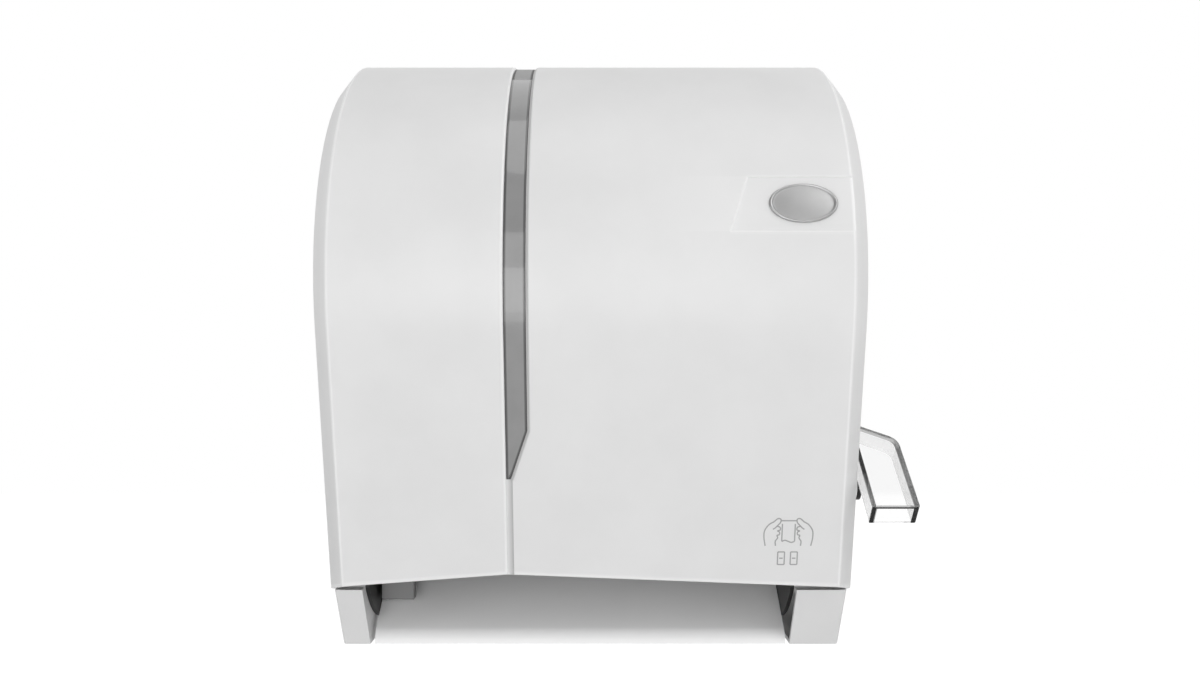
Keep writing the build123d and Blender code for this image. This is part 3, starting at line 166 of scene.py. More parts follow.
FLOOR_Z, FLOOR_HALF = -0.62, 4.0
FLOOR_WHITE, FLOOR_GLOW = 0.9, 0.66
floor_mesh = bpy.data.meshes.new("floor")
corners = [(-1, -1), (1, -1), (1, 1), (-1, 1)]
floor_mesh.from_pydata(
    [(x * FLOOR_HALF, y * FLOOR_HALF, FLOOR_Z) for x, y in corners], [], [(0, 1, 2, 3)]
)
floor = bpy.data.objects.new("floor", floor_mesh)
scene.collection.objects.link(floor)
floor_paint = bpy.data.materials.new("floor_paint")
ground = open_tree(floor_paint)
matt = ground.node("BsdfDiffuse", {}, {"Color": (FLOOR_WHITE, FLOOR_WHITE, FLOOR_WHITE, 1)})
glow = ground.node("Emission", {}, {"Color": (1, 1, 1, 1), "Strength": FLOOR_GLOW})
seen = ground.node("LightPath", {}, {}, out="Is Camera Ray")
through = ground.node("LightPath", {}, {}, out="Is Transmission Ray")
direct = (seen + through).clear(0, 1)
dark = ground.node("Emission", {}, {"Strength": 0})
brightened = ground.node("MixShader", {}, {0: direct, 1: dark, 2: glow})
paint = ground.node("AddShader", {}, {0: matt, 1: brightened})
ground.node("OutputMaterial", {}, {"Surface": paint})
floor_mesh.materials.append(floor_paint)


# Back plate ---------------------------------------------------------------------------------
# Moulded white ABS plate with a rim, ribs and four bossed wall-screw holes. Everything else
# is built on it.
def moulded(name, colour, rough=0.42, grain=0.02, patch=0.03, painted_light=None, dust_and_shade_colour=None):
    """Injection-moulded plastic: an eroded grain a few tenths of a millimetre across, a faint
    cloudiness of the colour from the flow of the melt, and rubbed patches that shine a little
    more. Where the piece's painted-light values rise above 0, its edges take a painted highlight,
    paler and smoother, and where they fall below 0, its recesses take painted shade, greyer and
    rougher."""
    material = bpy.data.materials.new(name)
    tree = open_tree(material)
    place = tree.node("TexCoord", {}, {}, out="Object")
    clouds = tree.node("TexNoise", {}, {"Vector": place, "Scale": 26, "Detail": 3})
    flow = tree.node("TexNoise", {}, {"Vector": place, "Scale": 9, "Detail": 1})
    texture = tree.node("TexNoise", {}, {"Vector": place, "Scale": 2600, "Detail": 2})
    pits = tree.node("TexVoronoi", {"feature": "F1"}, {"Vector": place, "Scale": 1500})
    dull = tuple(c * (1 - patch) for c in colour[:3]) + (1,)
    surface = clouds.clear(0.35, 0.65).tint(dull, colour)
    shine = rough + (flow - 0.5) * 0.12 + (texture - 0.5) * 0.05
    # Painted light: a pale painted highlight on the marked edges and grey painted shade in the
    # marked recesses.
    if painted_light:
        painted_level = tree.node("Attribute", {"attribute_name": "painted_light"}, {}, out="Fac")
        edges, painted_shade = painted_level.clear(0, 1), (0 - painted_level).clear(0, 1)
        surface = (edges * (0.85 + clouds * 0.3)).tint(surface, painted_light)
        surface = (painted_shade * (0.85 + clouds * 0.3)).tint(surface, dust_and_shade_colour)
        shine = shine - edges * 0.12 + painted_shade * 0.2
    relief = texture * 0.7 + pits * 0.3
    bump = tree.node("Bump", {}, {"Strength": 0.35, "Distance": grain * MM, "Height": relief})
    body = {"Base Color": surface, "Roughness": shine, "Normal": bump}
    shader = tree.node("BsdfPrincipled", {}, body)
    tree.node("OutputMaterial", {}, {"Surface": shader})
    return material


def dress(material, *names):
    """Put a material on CAD nodes, in every material slot that they have."""
    for name in names:
        mesh = nodes[name].data
        if mesh.materials:
            for k in range(len(mesh.materials)):
                mesh.materials[k] = material
        else:
            mesh.materials.append(material)


frame_white = moulded("frame_white", grey(224), rough=0.45)
dress(frame_white, "back_plate")


# Side frames --------------------------------------------------------------------------------
# Two white ABS box mouldings screwed to the back plate. They carry the mechanism, and the pins
# at their rear corners, pressed in from outside, are the cover's hinge. A thin liner closes the
# hollow of the left one's foot.
def plated(name, colour, rough=0.28, marks=(1500, 90, 90), depth=0.004, blotched=0.78):
    """Zinc-plated or polished steel: bright metal with fine tool marks, closely spaced along one
    axis and drawn out along the others, under a faintly blotched finish."""
    material = bpy.data.materials.new(name)
    tree = open_tree(material)
    place = tree.node("TexCoord", {}, {}, out="Object")
    drawn = tree.node("Mapping", {}, {"Vector": place, "Scale": marks})
    lines = tree.node("TexNoise", {}, {"Vector": drawn, "Scale": 1, "Detail": 3})
    blotch = tree.node("TexNoise", {}, {"Vector": place, "Scale": 140, "Detail": 3})
    dull = tuple(c * blotched for c in colour[:3]) + (1,)
    surface = blotch.clear(0.3, 0.7).tint(dull, colour)
    shine = rough + (blotch - 0.5) * (0.9 - blotched) + (lines - 0.5) * 0.14
    bump = tree.node("Bump", {}, {"Strength": 0.5, "Distance": depth * MM, "Height": lines})
    steel = {"Base Color": surface, "Metallic": 1.0, "Roughness": shine, "Normal": bump}
    shader = tree.node("BsdfPrincipled", {}, steel)
    tree.node("OutputMaterial", {}, {"Surface": shader})
    return material


def piece(name, points, faces, material, crease=32, painted_light=None):
    """A mesh object of worked-out points and faces, smooth but for edges past the crease, with
    every face turned outwards. Where painted-light values are given, each point keeps its own:
    painted highlight above 0, painted shade below 0."""
    mesh = bpy.data.meshes.new(name)
    mesh.from_pydata(points.tolist(), [], [list(face) for face in faces])
    if painted_light is not None:
        mesh.attributes.new("painted_light", "FLOAT", "POINT").data.foreach_set("value", painted_light)
    work = bmesh.new()
    work.from_mesh(mesh)
    bmesh.ops.remove_doubles(work, verts=work.verts, dist=1e-6)
    bmesh.ops.recalc_face_normals(work, faces=work.faces)
    work.to_mesh(mesh)
    work.free()
    mesh.shade_smooth()
    mesh.set_sharp_from_angle(angle=math.radians(crease))
    mesh.materials.append(material)
    made = bpy.data.objects.new(name, mesh)
    scene.collection.objects.link(made)
    return made


def ring_faces(rows, columns, first=0, wrap_rows=True):
    """Faces of a grid of points whose columns close into a ring, and whose rows do so too where
    wrap_rows is set. `first` is the number of its first point."""
    down = np.arange(rows if wrap_rows else rows - 1)[:, None]
    along = np.arange(columns)[None, :]
    under, beside = (down + 1) % rows, (along + 1) % columns
    corners = [down * columns + along, under * columns + along]
    corners += [under * columns + beside, down * columns + beside]
    return np.stack(corners, axis=-1).reshape(-1, 4) + first


def around(middle_d, middle_z, radius, degrees):
    """Points (depth, height) on an arc about a middle, at angles in degrees."""
    turn = np.radians(degrees)
    return np.stack([middle_d + radius * np.cos(turn), middle_z + radius * np.sin(turn)], axis=-1)


def prism(outline, left, right):
    """Points and faces of an outline (depth, height) carried straight from left to right."""
    x = np.repeat([left, right], len(outline))
    points = np.column_stack([x, np.tile(outline * (-1, 1), (2, 1))]) * MM
    faces = [list(face) for face in ring_faces(2, len(outline), wrap_rows=False)]
    return points, faces + [list(range(end, end + len(outline))) for end in (0, len(outline))]


dress(frame_white, "left_side_frame", "right_side_frame")
LEG_TOP_Z, LEG_FOOT_Z = -142.5, -178.8
LEG_REAR_D, LEG_TOP_D, LEG_FOOT_D = 90.0, 173.4, 150.8
LINER_LEFT, LINER_RIGHT = -132.2, -131.1
leg_front = [(LEG_TOP_D, LEG_TOP_Z), (LEG_FOOT_D, LEG_FOOT_Z)]
leg_outline = np.array(leg_front + [(LEG_REAR_D, LEG_FOOT_Z), (LEG_REAR_D, LEG_TOP_Z)])
leg_liner = piece("left_leg_liner", *prism(leg_outline, LINER_LEFT, LINER_RIGHT), frame_white)
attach(leg_liner, "chassis")
plated_steel = plated("plated_steel", grey(190))
dress(plated_steel, "hinge_pins")


# Mechanism plates and bushes ----------------------------------------------------------------
# Two black glass-filled nylon plates with round fronts, clipped inside the side frames. White
# acetal bushes snap into them and carry the shafts.
black_plastic = moulded("black_plastic", grey(29), rough=0.42, grain=0.03, patch=0.2)
bush_plastic = moulded("bush_plastic", grey(214, 0.01), rough=0.3, grain=0.006)
dress(black_plastic, "left_mechanism_plate", "right_mechanism_plate")
dress(bush_plastic, "feed_bushes", "lever_bushes")


# Paper chute and edge guide -----------------------------------------------------------------
# A white ABS ramp, ribbed below, leads the sheet down and forward. A smooth facing with a full
# round nose lies on it, and the grey guide in its left corner keeps the sheet off the plate.
chute_white = moulded("chute_white", grey(250), rough=0.34, grain=0.008, patch=0.015)
grey_plastic = moulded("grey_plastic", grey(126), rough=0.4, patch=0.08)
dress(chute_white, "paper_chute")
dress(grey_plastic, "edge_guide")
NOSE_D, NOSE_Z, NOSE_R = 139.05, -180.0, 12.0
NOSE_UPPER, NOSE_LOWER = 54.3, 4.8
RAMP_LEFT, RAMP_RIGHT = -128.5, 115.8
ramp_nose = around(NOSE_D, NOSE_Z, NOSE_R, np.linspace(NOSE_UPPER, NOSE_LOWER, 18))
ramp_under = [(143.5, -179.0), (140.0, -175.6)]
ramp_rear = [(66.0, -114.0), (65.0, -112.3)]
ramp = prism(np.vstack([ramp_nose, ramp_under, ramp_rear]), RAMP_LEFT, RAMP_RIGHT)
ramp_face = piece("chute_ramp_face", *ramp, chute_white)
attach(ramp_face, "chassis")


# Feed roller --------------------------------------------------------------------------------
# A steel shaft carries a grey drum under four black rubber sleeves. Their outside is moulded
# with fine ribs along the roller, which grip the sheet.
def rubber(name, colour):
    """Matt rubber: a dark body with a bloom of pale dust and a fine, uneven grain."""
    material = bpy.data.materials.new(name)
    tree = open_tree(material)
    place = tree.node("TexCoord", {}, {}, out="Object")
    grain = tree.node("TexNoise", {}, {"Vector": place, "Scale": 1900, "Detail": 3})
    bloom = tree.node("TexNoise", {}, {"Vector": place, "Scale": 75, "Detail": 4})
    dust_and_shade_colour = tuple(c * 1.9 + 0.012 for c in colour[:3]) + (1,)
    surface = bloom.clear(0.45, 0.75).tint(colour, dust_and_shade_colour)
    shine = 0.68 + (bloom - 0.5) * 0.3
    bump = tree.node("Bump", {}, {"Strength": 0.5, "Distance": 0.03 * MM, "Height": grain})
    body = {"Base Color": surface, "Roughness": shine, "Normal": bump}
    shader = tree.node("BsdfPrincipled", {}, body)
    tree.node("OutputMaterial", {}, {"Surface": shader})
    return material


FEED_D, FEED_Z, FEED_R, FEED_BORE = 138.0, -110.0, 17.0, 15.0
SLEEVE_WIDTH, SLEEVE_COUNT = 30.0, 4
DRUM_LEFT, DRUM_RIGHT = -104.0, 91.0
RIBS, RIB_DEPTH, RIB_STEPS = 60, 0.4, 6
SLEEVE_POINTS = 6 * RIBS * RIB_STEPS


def sleeve(middle, first):
    """One sleeve: a closed ring of points (place along the roller, radius) turned about the
    roller's axis, its outside raised and lowered by a cosine with as many waves as ribs."""
    half, soft = SLEEVE_WIDTH / 2, 0.6
    along = np.array([-half, -half, soft - half, half - soft, half, half])
    radius = np.array([FEED_BORE, FEED_R - soft, FEED_R, FEED_R, FEED_R - soft, FEED_BORE])
    angle = np.linspace(0, 2 * math.pi, RIBS * RIB_STEPS, endpoint=False)
    groove = RIB_DEPTH * (1 - np.cos(angle * RIBS)) / 2
    spread = radius[:, None] - groove * (radius[:, None] > FEED_BORE + 0.1)
    x = np.broadcast_to(middle + along[:, None], spread.shape)
    d, z = FEED_D + spread * np.cos(angle), FEED_Z + spread * np.sin(angle)
    points = np.stack([x, -d, z], axis=-1).reshape(-1, 3) * MM
    return points, ring_faces(len(along), len(angle), first)


step = (DRUM_RIGHT - DRUM_LEFT) / SLEEVE_COUNT
sleeves = [sleeve(DRUM_LEFT + step * (k + 0.5), k * SLEEVE_POINTS) for k in range(SLEEVE_COUNT)]
roller_rubber = rubber("roller_rubber", grey(46))
grip = piece(
    "ribbed_sleeves",
    np.vstack([points for points, faces in sleeves]),
    np.vstack([faces for points, faces in sleeves]),
    roller_rubber,
    crease=50,
)
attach(grip, "feed_roller")
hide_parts("feed_sleeves")
dress(plated_steel, "feed_shaft")
dress(grey_plastic, "feed_drum")


# Gears and one-way clutch -------------------------------------------------------------------
# The lever's toothed sector drives a pinion on the feed shaft, both moulded in natural acetal.
# Hardened rollers in ramps inside the pinion grip the shaft's hub one way only.
gear_plastic = moulded("gear_plastic", grey(206, 0.03), rough=0.34, grain=0.008, patch=0.05)
dress(gear_plastic, "sector_gear", "drive_pinion")
hard_steel = plated("hard_steel", grey(168), rough=0.2, marks=(700, 200, 200))
dress(hard_steel, "clutch_hub", "clutch_rollers")


# Lever shaft, return spring and bumper ------------------------------------------------------
# A steel shaft through the right frame joins lever and sector. A coil of spring wire turns it
# back against a rubber bumper.
COIL_STEPS, WIRE_SIDES = 40, 12


def coil(start, axis, pitch, turns, radius, wire, first=0):
    """Round wire carried along a helix: its centre climbs by the pitch in each turn, its ring of
    points stands in the plane of the radius and the climb, and shrinks to nothing at both ends."""
    axis = np.array(axis, float)
    side = np.array([0.0, 0.0, 1.0]) if axis[0] else np.array([1.0, 0.0, 0.0])
    other = np.cross(axis, side)
    turn = np.linspace(0, 2 * math.pi * turns, COIL_STEPS * turns + 1)[:, None]
    swell = np.ones_like(turn)
    turn = np.vstack([turn[:1], turn[:1], turn, turn[-1:], turn[-1:]])
    swell = np.vstack([[[0.0]], [[0.7]], swell, [[0.7]], [[0.0]]])
    outward = np.cos(turn) * side + np.sin(turn) * other
    middle = np.array(start) + outward * radius + axis * pitch * turn / (2 * math.pi)
    heading = np.cos(turn) * other - np.sin(turn) * side + axis * pitch / (2 * math.pi * radius)
    heading = heading / np.linalg.norm(heading, axis=1, keepdims=True)
    across = np.cross(heading, outward)
    about = np.linspace(0, 2 * math.pi, WIRE_SIDES, endpoint=False)[None, :, None]
    ring = np.cos(about) * outward[:, None] + np.sin(about) * across[:, None]
    points = middle[:, None] + ring * wire * swell[:, None]
    return points.reshape(-1, 3) * MM, ring_faces(len(turn), WIRE_SIDES, first, wrap_rows=False)


LEVER_D, LEVER_Z = 66.583, -84.006
SPRING_LEFT, SPRING_R, WIRE_R = 131.3, 9.0, 0.6
ALONG_X, UPWARD = (1, 0, 0), (0, 0, 1)
spring_steel = plated("spring_steel", grey(172), rough=0.3, marks=(260, 260, 260))
spring_foot = (SPRING_LEFT, -LEVER_D, LEVER_Z)
wound = coil(spring_foot, ALONG_X, pitch=1.7, turns=3, radius=SPRING_R, wire=WIRE_R)
return_spring = piece("return_spring", *wound, spring_steel)
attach(return_spring, "chassis")
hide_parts("lever_spring")
dress(plated_steel, "lever_shaft")
dress(roller_rubber, "lever_bumper")


# Pinch roller and cradle --------------------------------------------------------------------
# A thinner rubber roller rides in a black nylon cradle. The cradle swings on a steel rod, and
# two small coils press it up under the feed roller.
dress(black_plastic, "pinch_cradle")
dress(roller_rubber, "pinch_drum")
dress(plated_steel, "pinch_shaft", "cradle_rod")
ROD_D, ROD_Z = 98.0, -106.0
LEFT_COIL_X, RIGHT_COIL_X = -115.9, 96.5
wind = {"pitch": 1.6, "turns": 4, "radius": 4.2, "wire": WIRE_R}
left_coil = coil((LEFT_COIL_X, -ROD_D, ROD_Z), ALONG_X, **wind)
right_coil = coil((RIGHT_COIL_X, -ROD_D, ROD_Z), ALONG_X, **wind, first=len(left_coil[0]))
both = [np.vstack(parts) for parts in zip(left_coil, right_coil)]
cradle_coils = piece("cradle_coils", *both, spring_steel)
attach(cradle_coils, "chassis")
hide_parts("cradle_springs")


# Tear bar -----------------------------------------------------------------------------------
# A strip of stainless steel with cut teeth, on which the sheet is torn off. It stands in a black
# nylon holder that spans the mechanism plates, just behind the front of the cover.
blade_steel = plated("blade_steel", grey(200), rough=0.22, marks=(60, 900, 900))
dress(blade_steel, "tear_bar")
dress(black_plastic, "tear_bar_holder")


# Roll arms and core hubs --------------------------------------------------------------------
# The paper roll hangs between two grey arms. The left one is fixed; the right one swings out
# on its pin against a coil, and each hub turns on a steel pin.
dress(grey_plastic, "left_roll_arm", "right_arm_bracket", "right_roll_arm")
dress(grey_plastic, "left_core_hub", "right_core_hub")
dress(plated_steel, "left_hub_pin", "right_hub_pin", "right_arm_pin")
arm_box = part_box("right_arm_spring")
arm_middle = [(low + high) / 2 / MM for low, high in zip(*arm_box)]
arm_foot = (arm_middle[0], arm_middle[1], arm_box[0][2] / MM + WIRE_R)
arm_wind = coil(arm_foot, UPWARD, pitch=1.6, turns=4, radius=4.0, wire=WIRE_R)
arm_coil = piece("arm_coil", *arm_wind, spring_steel)
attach(arm_coil, "chassis")
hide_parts("right_arm_spring")


# Screws -------------------------------------------------------------------------------------
# Cross-head screws of zinc-plated steel. They hold the side frames, the roll arms and the lock's
# keeper to the back plate.
screw_zinc = plated("screw_zinc", grey(186), rough=0.3, marks=(400, 400, 400))
dress(screw_zinc, "frame_screws", "arm_screws", "keeper_screw")


# Front cover --------------------------------------------------------------------------------
# One white ABS moulding: flat top, round crown, a front that leans back to the skirt and a wide
# bevel down both sides. It is slotted for the window strip, grooved below it and sunk for the
# badge. It hangs on two hinge pins, and a slot in its right side lets the lever shaft pass.
HALF = 150.0
BOTTOM_Z = -179.0
REAR_D = 3.0
CROWN_D, CROWN_Z, CROWN_R = 78.0, 37.0, 142.0
LEAN = math.radians(13.64)
WALL = 2.5
BEVEL_X, BEVEL_DEPTH = 9.3, 10.85
RIDGE_X = HALF - BEVEL_X
RIDGE_R = 2.0
RIDGE_TURN = math.atan2(BEVEL_DEPTH, BEVEL_X)
FLAT_RUN = CROWN_D - REAR_D
CROWN_RUN = CROWN_R * (math.pi / 2 + LEAN)
FOOT_Z = CROWN_Z - CROWN_R * math.sin(LEAN)
SKIRT_Z = BOTTOM_Z + 40.0
SKIRT_RISE = 8.2
SLOT_X, SLOT_WIDTH, SLOT_REAR_D = -46.75, 12.05, 20.0
SLOT_END_Z, SLOT_TIP_Z, SLOT_TIP_WIDTH = -49.2, -76.4, 2.6
GROOVE_WIDTH, GROOVE_DEPTH = 3.3, 1.6
STRIP_SINK = 1.2
LIP_R = 1.5
SHELF = 1.9
HEM_R = 0.5
BAY_TOP_Z, BAY_BOTTOM_Z, BAY_DEPTH = 89.0, 58.6, 0.7
BAY_TOP_X, BAY_BOTTOM_X = 84.6, 74.4
HINGE_D, HINGE_Z, PIN_HOLE_R, EAR_R = 15.0, -165.0, 3.05, 13.5
EAR_FROM = math.degrees(math.acos((REAR_D - HINGE_D) / EAR_R))
SWING_R = math.hypot(LEVER_D - HINGE_D, LEVER_Z - HINGE_Z)
SWING_FROM = math.degrees(math.atan2(LEVER_Z - HINGE_Z, LEVER_D - HINGE_D))
SWING, SWING_HALF = 60.0, 7.0


def skin(run, sink=0.0):
    """Side section of the cover, `sink` below its skin, at runs measured along the skin from the
    rear of the top: a flat, then the crown's arc, then the leaning front. Returns the distance
    from the wall and the height."""
    turn = np.clip((run - FLAT_RUN) / CROWN_R, 0, CROWN_RUN / CROWN_R)
    angle = math.pi / 2 - turn
    flat = np.minimum(run - FLAT_RUN, 0)
    fall = np.maximum(run - FLAT_RUN - CROWN_RUN, 0)
    d = CROWN_D + (CROWN_R - sink) * np.cos(angle) + flat - fall * math.sin(LEAN)
    z = CROWN_Z + (CROWN_R - sink) * np.sin(angle) - fall * math.cos(LEAN)
    return d, z


def run_at(z):
    """Run along the skin of a height on the crown or the front."""
    if z > FOOT_Z:
        return FLAT_RUN + CROWN_R * (math.pi / 2 - math.asin((z - CROWN_Z) / CROWN_R))
    return FLAT_RUN + CROWN_RUN + (FOOT_Z - z) / math.cos(LEAN)


def slot_edge(run):
    """Right edge of the slot, of its slanting end and of the groove below it, at each run."""
    end, tip = run_at(SLOT_END_Z), run_at(SLOT_TIP_Z)
    wide, narrow = SLOT_X + SLOT_WIDTH, SLOT_X + SLOT_TIP_WIDTH
    groove = SLOT_X + GROOVE_WIDTH
    return np.interp(run, [end, tip, tip + 0.1], [wide, narrow, groove])


def bay_edge(run):
    """Left edge of the badge's bay, which slants out to the top."""
    return np.interp(run, [run_at(BAY_TOP_Z), run_at(BAY_BOTTOM_Z)], [BAY_TOP_X, BAY_BOTTOM_X])


def rise(value, start, width):
    """Smooth step from 0 to 1 that begins at start."""
    t = np.clip((value - start) / width, 0, 1)
    return t * t * (3 - 2 * t)


def skirt_fall(x):
    """Length of the flat front at each x: its lower edge rises from both corners to the slot."""
    full = (FOOT_Z - SKIRT_Z) / math.cos(LEAN)
    return full - SKIRT_RISE * np.interp(x, [-HALF, SLOT_X, HALF], [0, 1, 0])


def sink_of(x, run):
    """Depth of the cover's outer face below its skin: the greatest of the bevel with its round
    ridge, the round lip and the shelf along the slot, the groove, the bay and the skirt's edge."""
    past = np.abs(x) - (RIDGE_X - RIDGE_R * math.tan(RIDGE_TURN / 2))
    bend = RIDGE_R * math.sin(RIDGE_TURN)
    arc = RIDGE_R - np.sqrt(RIDGE_R**2 - np.clip(past, 0, bend) ** 2)
    bevel = arc + np.maximum(past - bend, 0) * BEVEL_DEPTH / BEVEL_X
    slotted = run > SLOT_REAR_D - REAR_D
    past_lip = np.clip(x - SLOT_X + LIP_R, 0, LIP_R)
    lip = (LIP_R - np.sqrt(LIP_R**2 - past_lip**2)) * (x <= SLOT_X + 0.001)
    edge = slot_edge(run)
    in_groove = run > run_at(SLOT_TIP_Z) + 0.05
    shelf_width = np.where(in_groove, 0.3, SHELF)
    floor = np.where(in_groove, GROOVE_DEPTH, STRIP_SINK + 0.5)
    shelf = (1 - rise(x, edge, shelf_width)) * np.where(in_groove, GROOVE_DEPTH, STRIP_SINK)
    shelf = np.where(x > edge + 0.01, shelf, floor) * (x > SLOT_X + 0.001)
    below_top = rise(run, run_at(BAY_TOP_Z), 0.3)
    above_bottom = 1 - rise(run, run_at(BAY_BOTTOM_Z) - 0.3, 0.3)
    bay = BAY_DEPTH * rise(x, bay_edge(run) - 0.6, 1.2) * below_top * above_bottom
    end = FLAT_RUN + CROWN_RUN + skirt_fall(x)
    hem = HEM_R - np.sqrt(HEM_R**2 - np.clip(run - end + HEM_R, 0, HEM_R) ** 2)
    return np.maximum.reduce([bevel, slotted * np.maximum(lip, shelf), bay, hem])


def spans(*parts):
    """Joins stretches of numbers, each from a start to an end in so many steps, into one rise."""
    return np.unique(np.concatenate([np.linspace(a, b, n + 1) for a, b, n in parts]))


# The grid's columns crowd together where the face bends: at the ridges, the slot's lip and its
# shelf, and the bay's edge. Its rows do so at the ends of the bay and of the slot.
bend_x = RIDGE_X - 0.92
ridge = bend_x + RIDGE_R * np.sin(np.radians([0, 8, 16, 24, 32, 40, 49.4]))
bevel_x = np.concatenate([[bend_x - 0.4], ridge, [142.0, 146.0, 149.6, HALF]])
lip_x = SLOT_X - LIP_R + LIP_R * np.sin(np.radians(np.arange(0, 91, 15)))
left_x = np.concatenate([-bevel_x[::-1], [-120, -90, -65, SLOT_X - LIP_R - 0.4], lip_x])
from_slot = np.array([0.02, 0.5])
to_edge = np.array([-0.02, 0, 0.03, 0.1, 0.2, 0.3, 0.6, 1.2, 1.6, 1.9, 2.3])
to_bay = np.array([-0.9, -0.6, -0.3, 0.0, 0.3, 0.6, 0.9])
between = np.array([0.3, 0.65])
run_rows = spans(
    (0, SLOT_REAR_D - REAR_D - 0.05, 3),
    (SLOT_REAR_D - REAR_D + 0.05, FLAT_RUN, 6),
    (FLAT_RUN, FLAT_RUN + CROWN_RUN, 96),
    (run_at(BAY_TOP_Z) - 0.4, run_at(BAY_TOP_Z) + 0.7, 11),
    (run_at(BAY_BOTTOM_Z) - 0.7, run_at(BAY_BOTTOM_Z) + 0.4, 11),
    (FLAT_RUN + CROWN_RUN, run_at(SLOT_END_Z), 6),
    (run_at(SLOT_END_Z), run_at(SLOT_TIP_Z), 4),
    (run_at(SLOT_TIP_Z) + 0.1, run_at(-95.0), 3),
)
skirt_rows = np.array([0.3, 0.7, 0.95, 1.0])
hem_rows = np.sin(np.radians([0, 20, 45, 65, 90])) * HEM_R

row_run = np.concatenate([run_rows, np.zeros(len(skirt_rows) + len(hem_rows) - 1)])[:, None]
edge_x, bay_x = slot_edge(row_run), bay_edge(row_run)
last = run_rows[-1]
edge_x[len(run_rows):] = slot_edge(last)
bay_x[len(run_rows):] = bay_edge(last)
first = edge_x + to_edge[-1]
grid_x = np.hstack(
    [
        np.broadcast_to(left_x, (len(row_run), len(left_x))),
        SLOT_X + from_slot[:1] + 0 * edge_x,
        SLOT_X + (edge_x - SLOT_X) * from_slot[1:],
        edge_x + to_edge,
        first + (bay_x + to_bay[0] - first) * between,
        bay_x + to_bay,
        bay_x + to_bay[-1] + (bevel_x[0] - bay_x - to_bay[-1]) * between,
        np.broadcast_to(bevel_x, (len(row_run), len(bevel_x))),
    ]
)
grid_run = np.broadcast_to(row_run, grid_x.shape).copy()
fall_end = FLAT_RUN + CROWN_RUN + skirt_fall(grid_x)
tail = len(run_rows)
for k, part in enumerate(skirt_rows[:-1]):
    grid_run[tail + k] = last + (fall_end[tail + k] - HEM_R - last) * part
for k, part in enumerate(hem_rows):
    grid_run[tail + len(skirt_rows) - 1 + k] = fall_end[tail + k] - HEM_R + part

# The inside follows the outside at the wall's thickness. The skirt ends on a plane that runs back
# and down, so the deeper a face lies below the skin, the more its runs are stretched towards it.
sink = sink_of(grid_x, grid_run)
stretch = math.tan(2 * LEAN) * np.clip((grid_run - last) / (fall_end - last), 0, 1)
outer_d, outer_z = skin(grid_run + stretch * sink, sink)
corner = (BEVEL_X + BEVEL_DEPTH - math.hypot(BEVEL_X, BEVEL_DEPTH)) * WALL
inner_ridge = HALF - WALL - BEVEL_X + corner / BEVEL_DEPTH
inner_x = np.interp(
    grid_x,
    [-HALF, -ridge[-1], -120, 120, ridge[-1], HALF],
    [WALL - HALF, -inner_ridge, -120, 120, inner_ridge, HALF - WALL],
)
inner_bevel = BEVEL_DEPTH - corner / BEVEL_X
inner_slope = inner_bevel / (HALF - WALL - inner_ridge)
inner_sink = WALL + np.maximum(np.abs(inner_x) - inner_ridge, 0) * inner_slope
inner_d, inner_z = skin(grid_run + stretch * inner_sink, inner_sink)


def side_wall(side, x, d, z):
    """Flat side of the cover: rulings from the bevel's edge to the rear and bottom edges, which
    run down the wall, round the hinge ear and along the skirt's line. The bevel's first two
    fifths rule to the wall edge and half of the ear. Gives x, d and z for the columns between,
    in order away from the bevel."""
    ear = np.radians(np.linspace(EAR_FROM, 270, 12))
    ear_d, ear_z = HINGE_D + EAR_R * np.cos(ear), HINGE_Z + EAR_R * np.sin(ear)
    low_d = d[-1] - (z[-1] - BOTTOM_Z) / math.tan(LEAN)
    edge_d = np.concatenate([[REAR_D], ear_d, [HINGE_D, low_d, d[-1]]])
    edge_z = np.concatenate([[z[0]], ear_z, [BOTTOM_Z, BOTTOM_Z, z[-1]]])
    length = np.concatenate([[0], np.cumsum(np.hypot(np.diff(edge_d), np.diff(edge_z)))])
    path = np.concatenate([[0], np.cumsum(np.hypot(np.diff(d), np.diff(z)))])
    at = np.interp(path, [0, path[-1] * 0.4, path[-1]], [0, length[7], length[-1]])
    to_d, to_z = np.interp(at, length, edge_d), np.interp(at, length, edge_z)
    shares = np.array([0.004, 0.3, 1.0])
    return (
        np.full((len(d), 3), side * x),
        d[:, None] + (to_d - d)[:, None] * shares,
        z[:, None] + (to_z - z)[:, None] * shares,
    )


def joined(x, d, z, half):
    """The front's grid with a side wall's columns added at both ends, as points in metres."""
    left = [part[:, ::-1] for part in side_wall(-1, half, d[:, 0], z[:, 0])]
    right = side_wall(1, half, d[:, -1], z[:, -1])
    x, d, z = (np.hstack([a, b, c]) for a, b, c in zip(left, (x, d, z), right))
    return np.stack([x, -d, z], axis=-1).reshape(-1, 3) * MM


def wall_faces(rows, columns, hole):
    """Faces of a closed wall between two copies of one grid: the outer cells but for a hole, the
    inner cells turned over, and a strip along every open edge."""
    at = np.arange(rows * columns).reshape(rows, columns)
    cells = np.stack([at[:-1, :-1], at[1:, :-1], at[1:, 1:], at[:-1, 1:]], axis=-1)[~hole]
    ends = np.roll(cells, -1, axis=1)
    a, b = cells.ravel(), ends.ravel()
    open_edge = ~np.isin(a * at.size + b, b * at.size + a)
    a, b = a[open_edge], b[open_edge]
    rim = np.stack([b, a, a + at.size, b + at.size], axis=-1)
    return np.vstack([cells, cells[:, ::-1] + at.size, rim])


def ridge_of(value, place, width):
    """1 at a place and falling to 0 on both sides of it, in the shape of a bell."""
    return np.exp(-(((value - place) / width) ** 2))


outer = joined(grid_x, outer_d, outer_z, HALF)
inner = joined(inner_x, inner_d, inner_z, HALF - WALL)
rows, columns = grid_x.shape[0], grid_x.shape[1] + 6

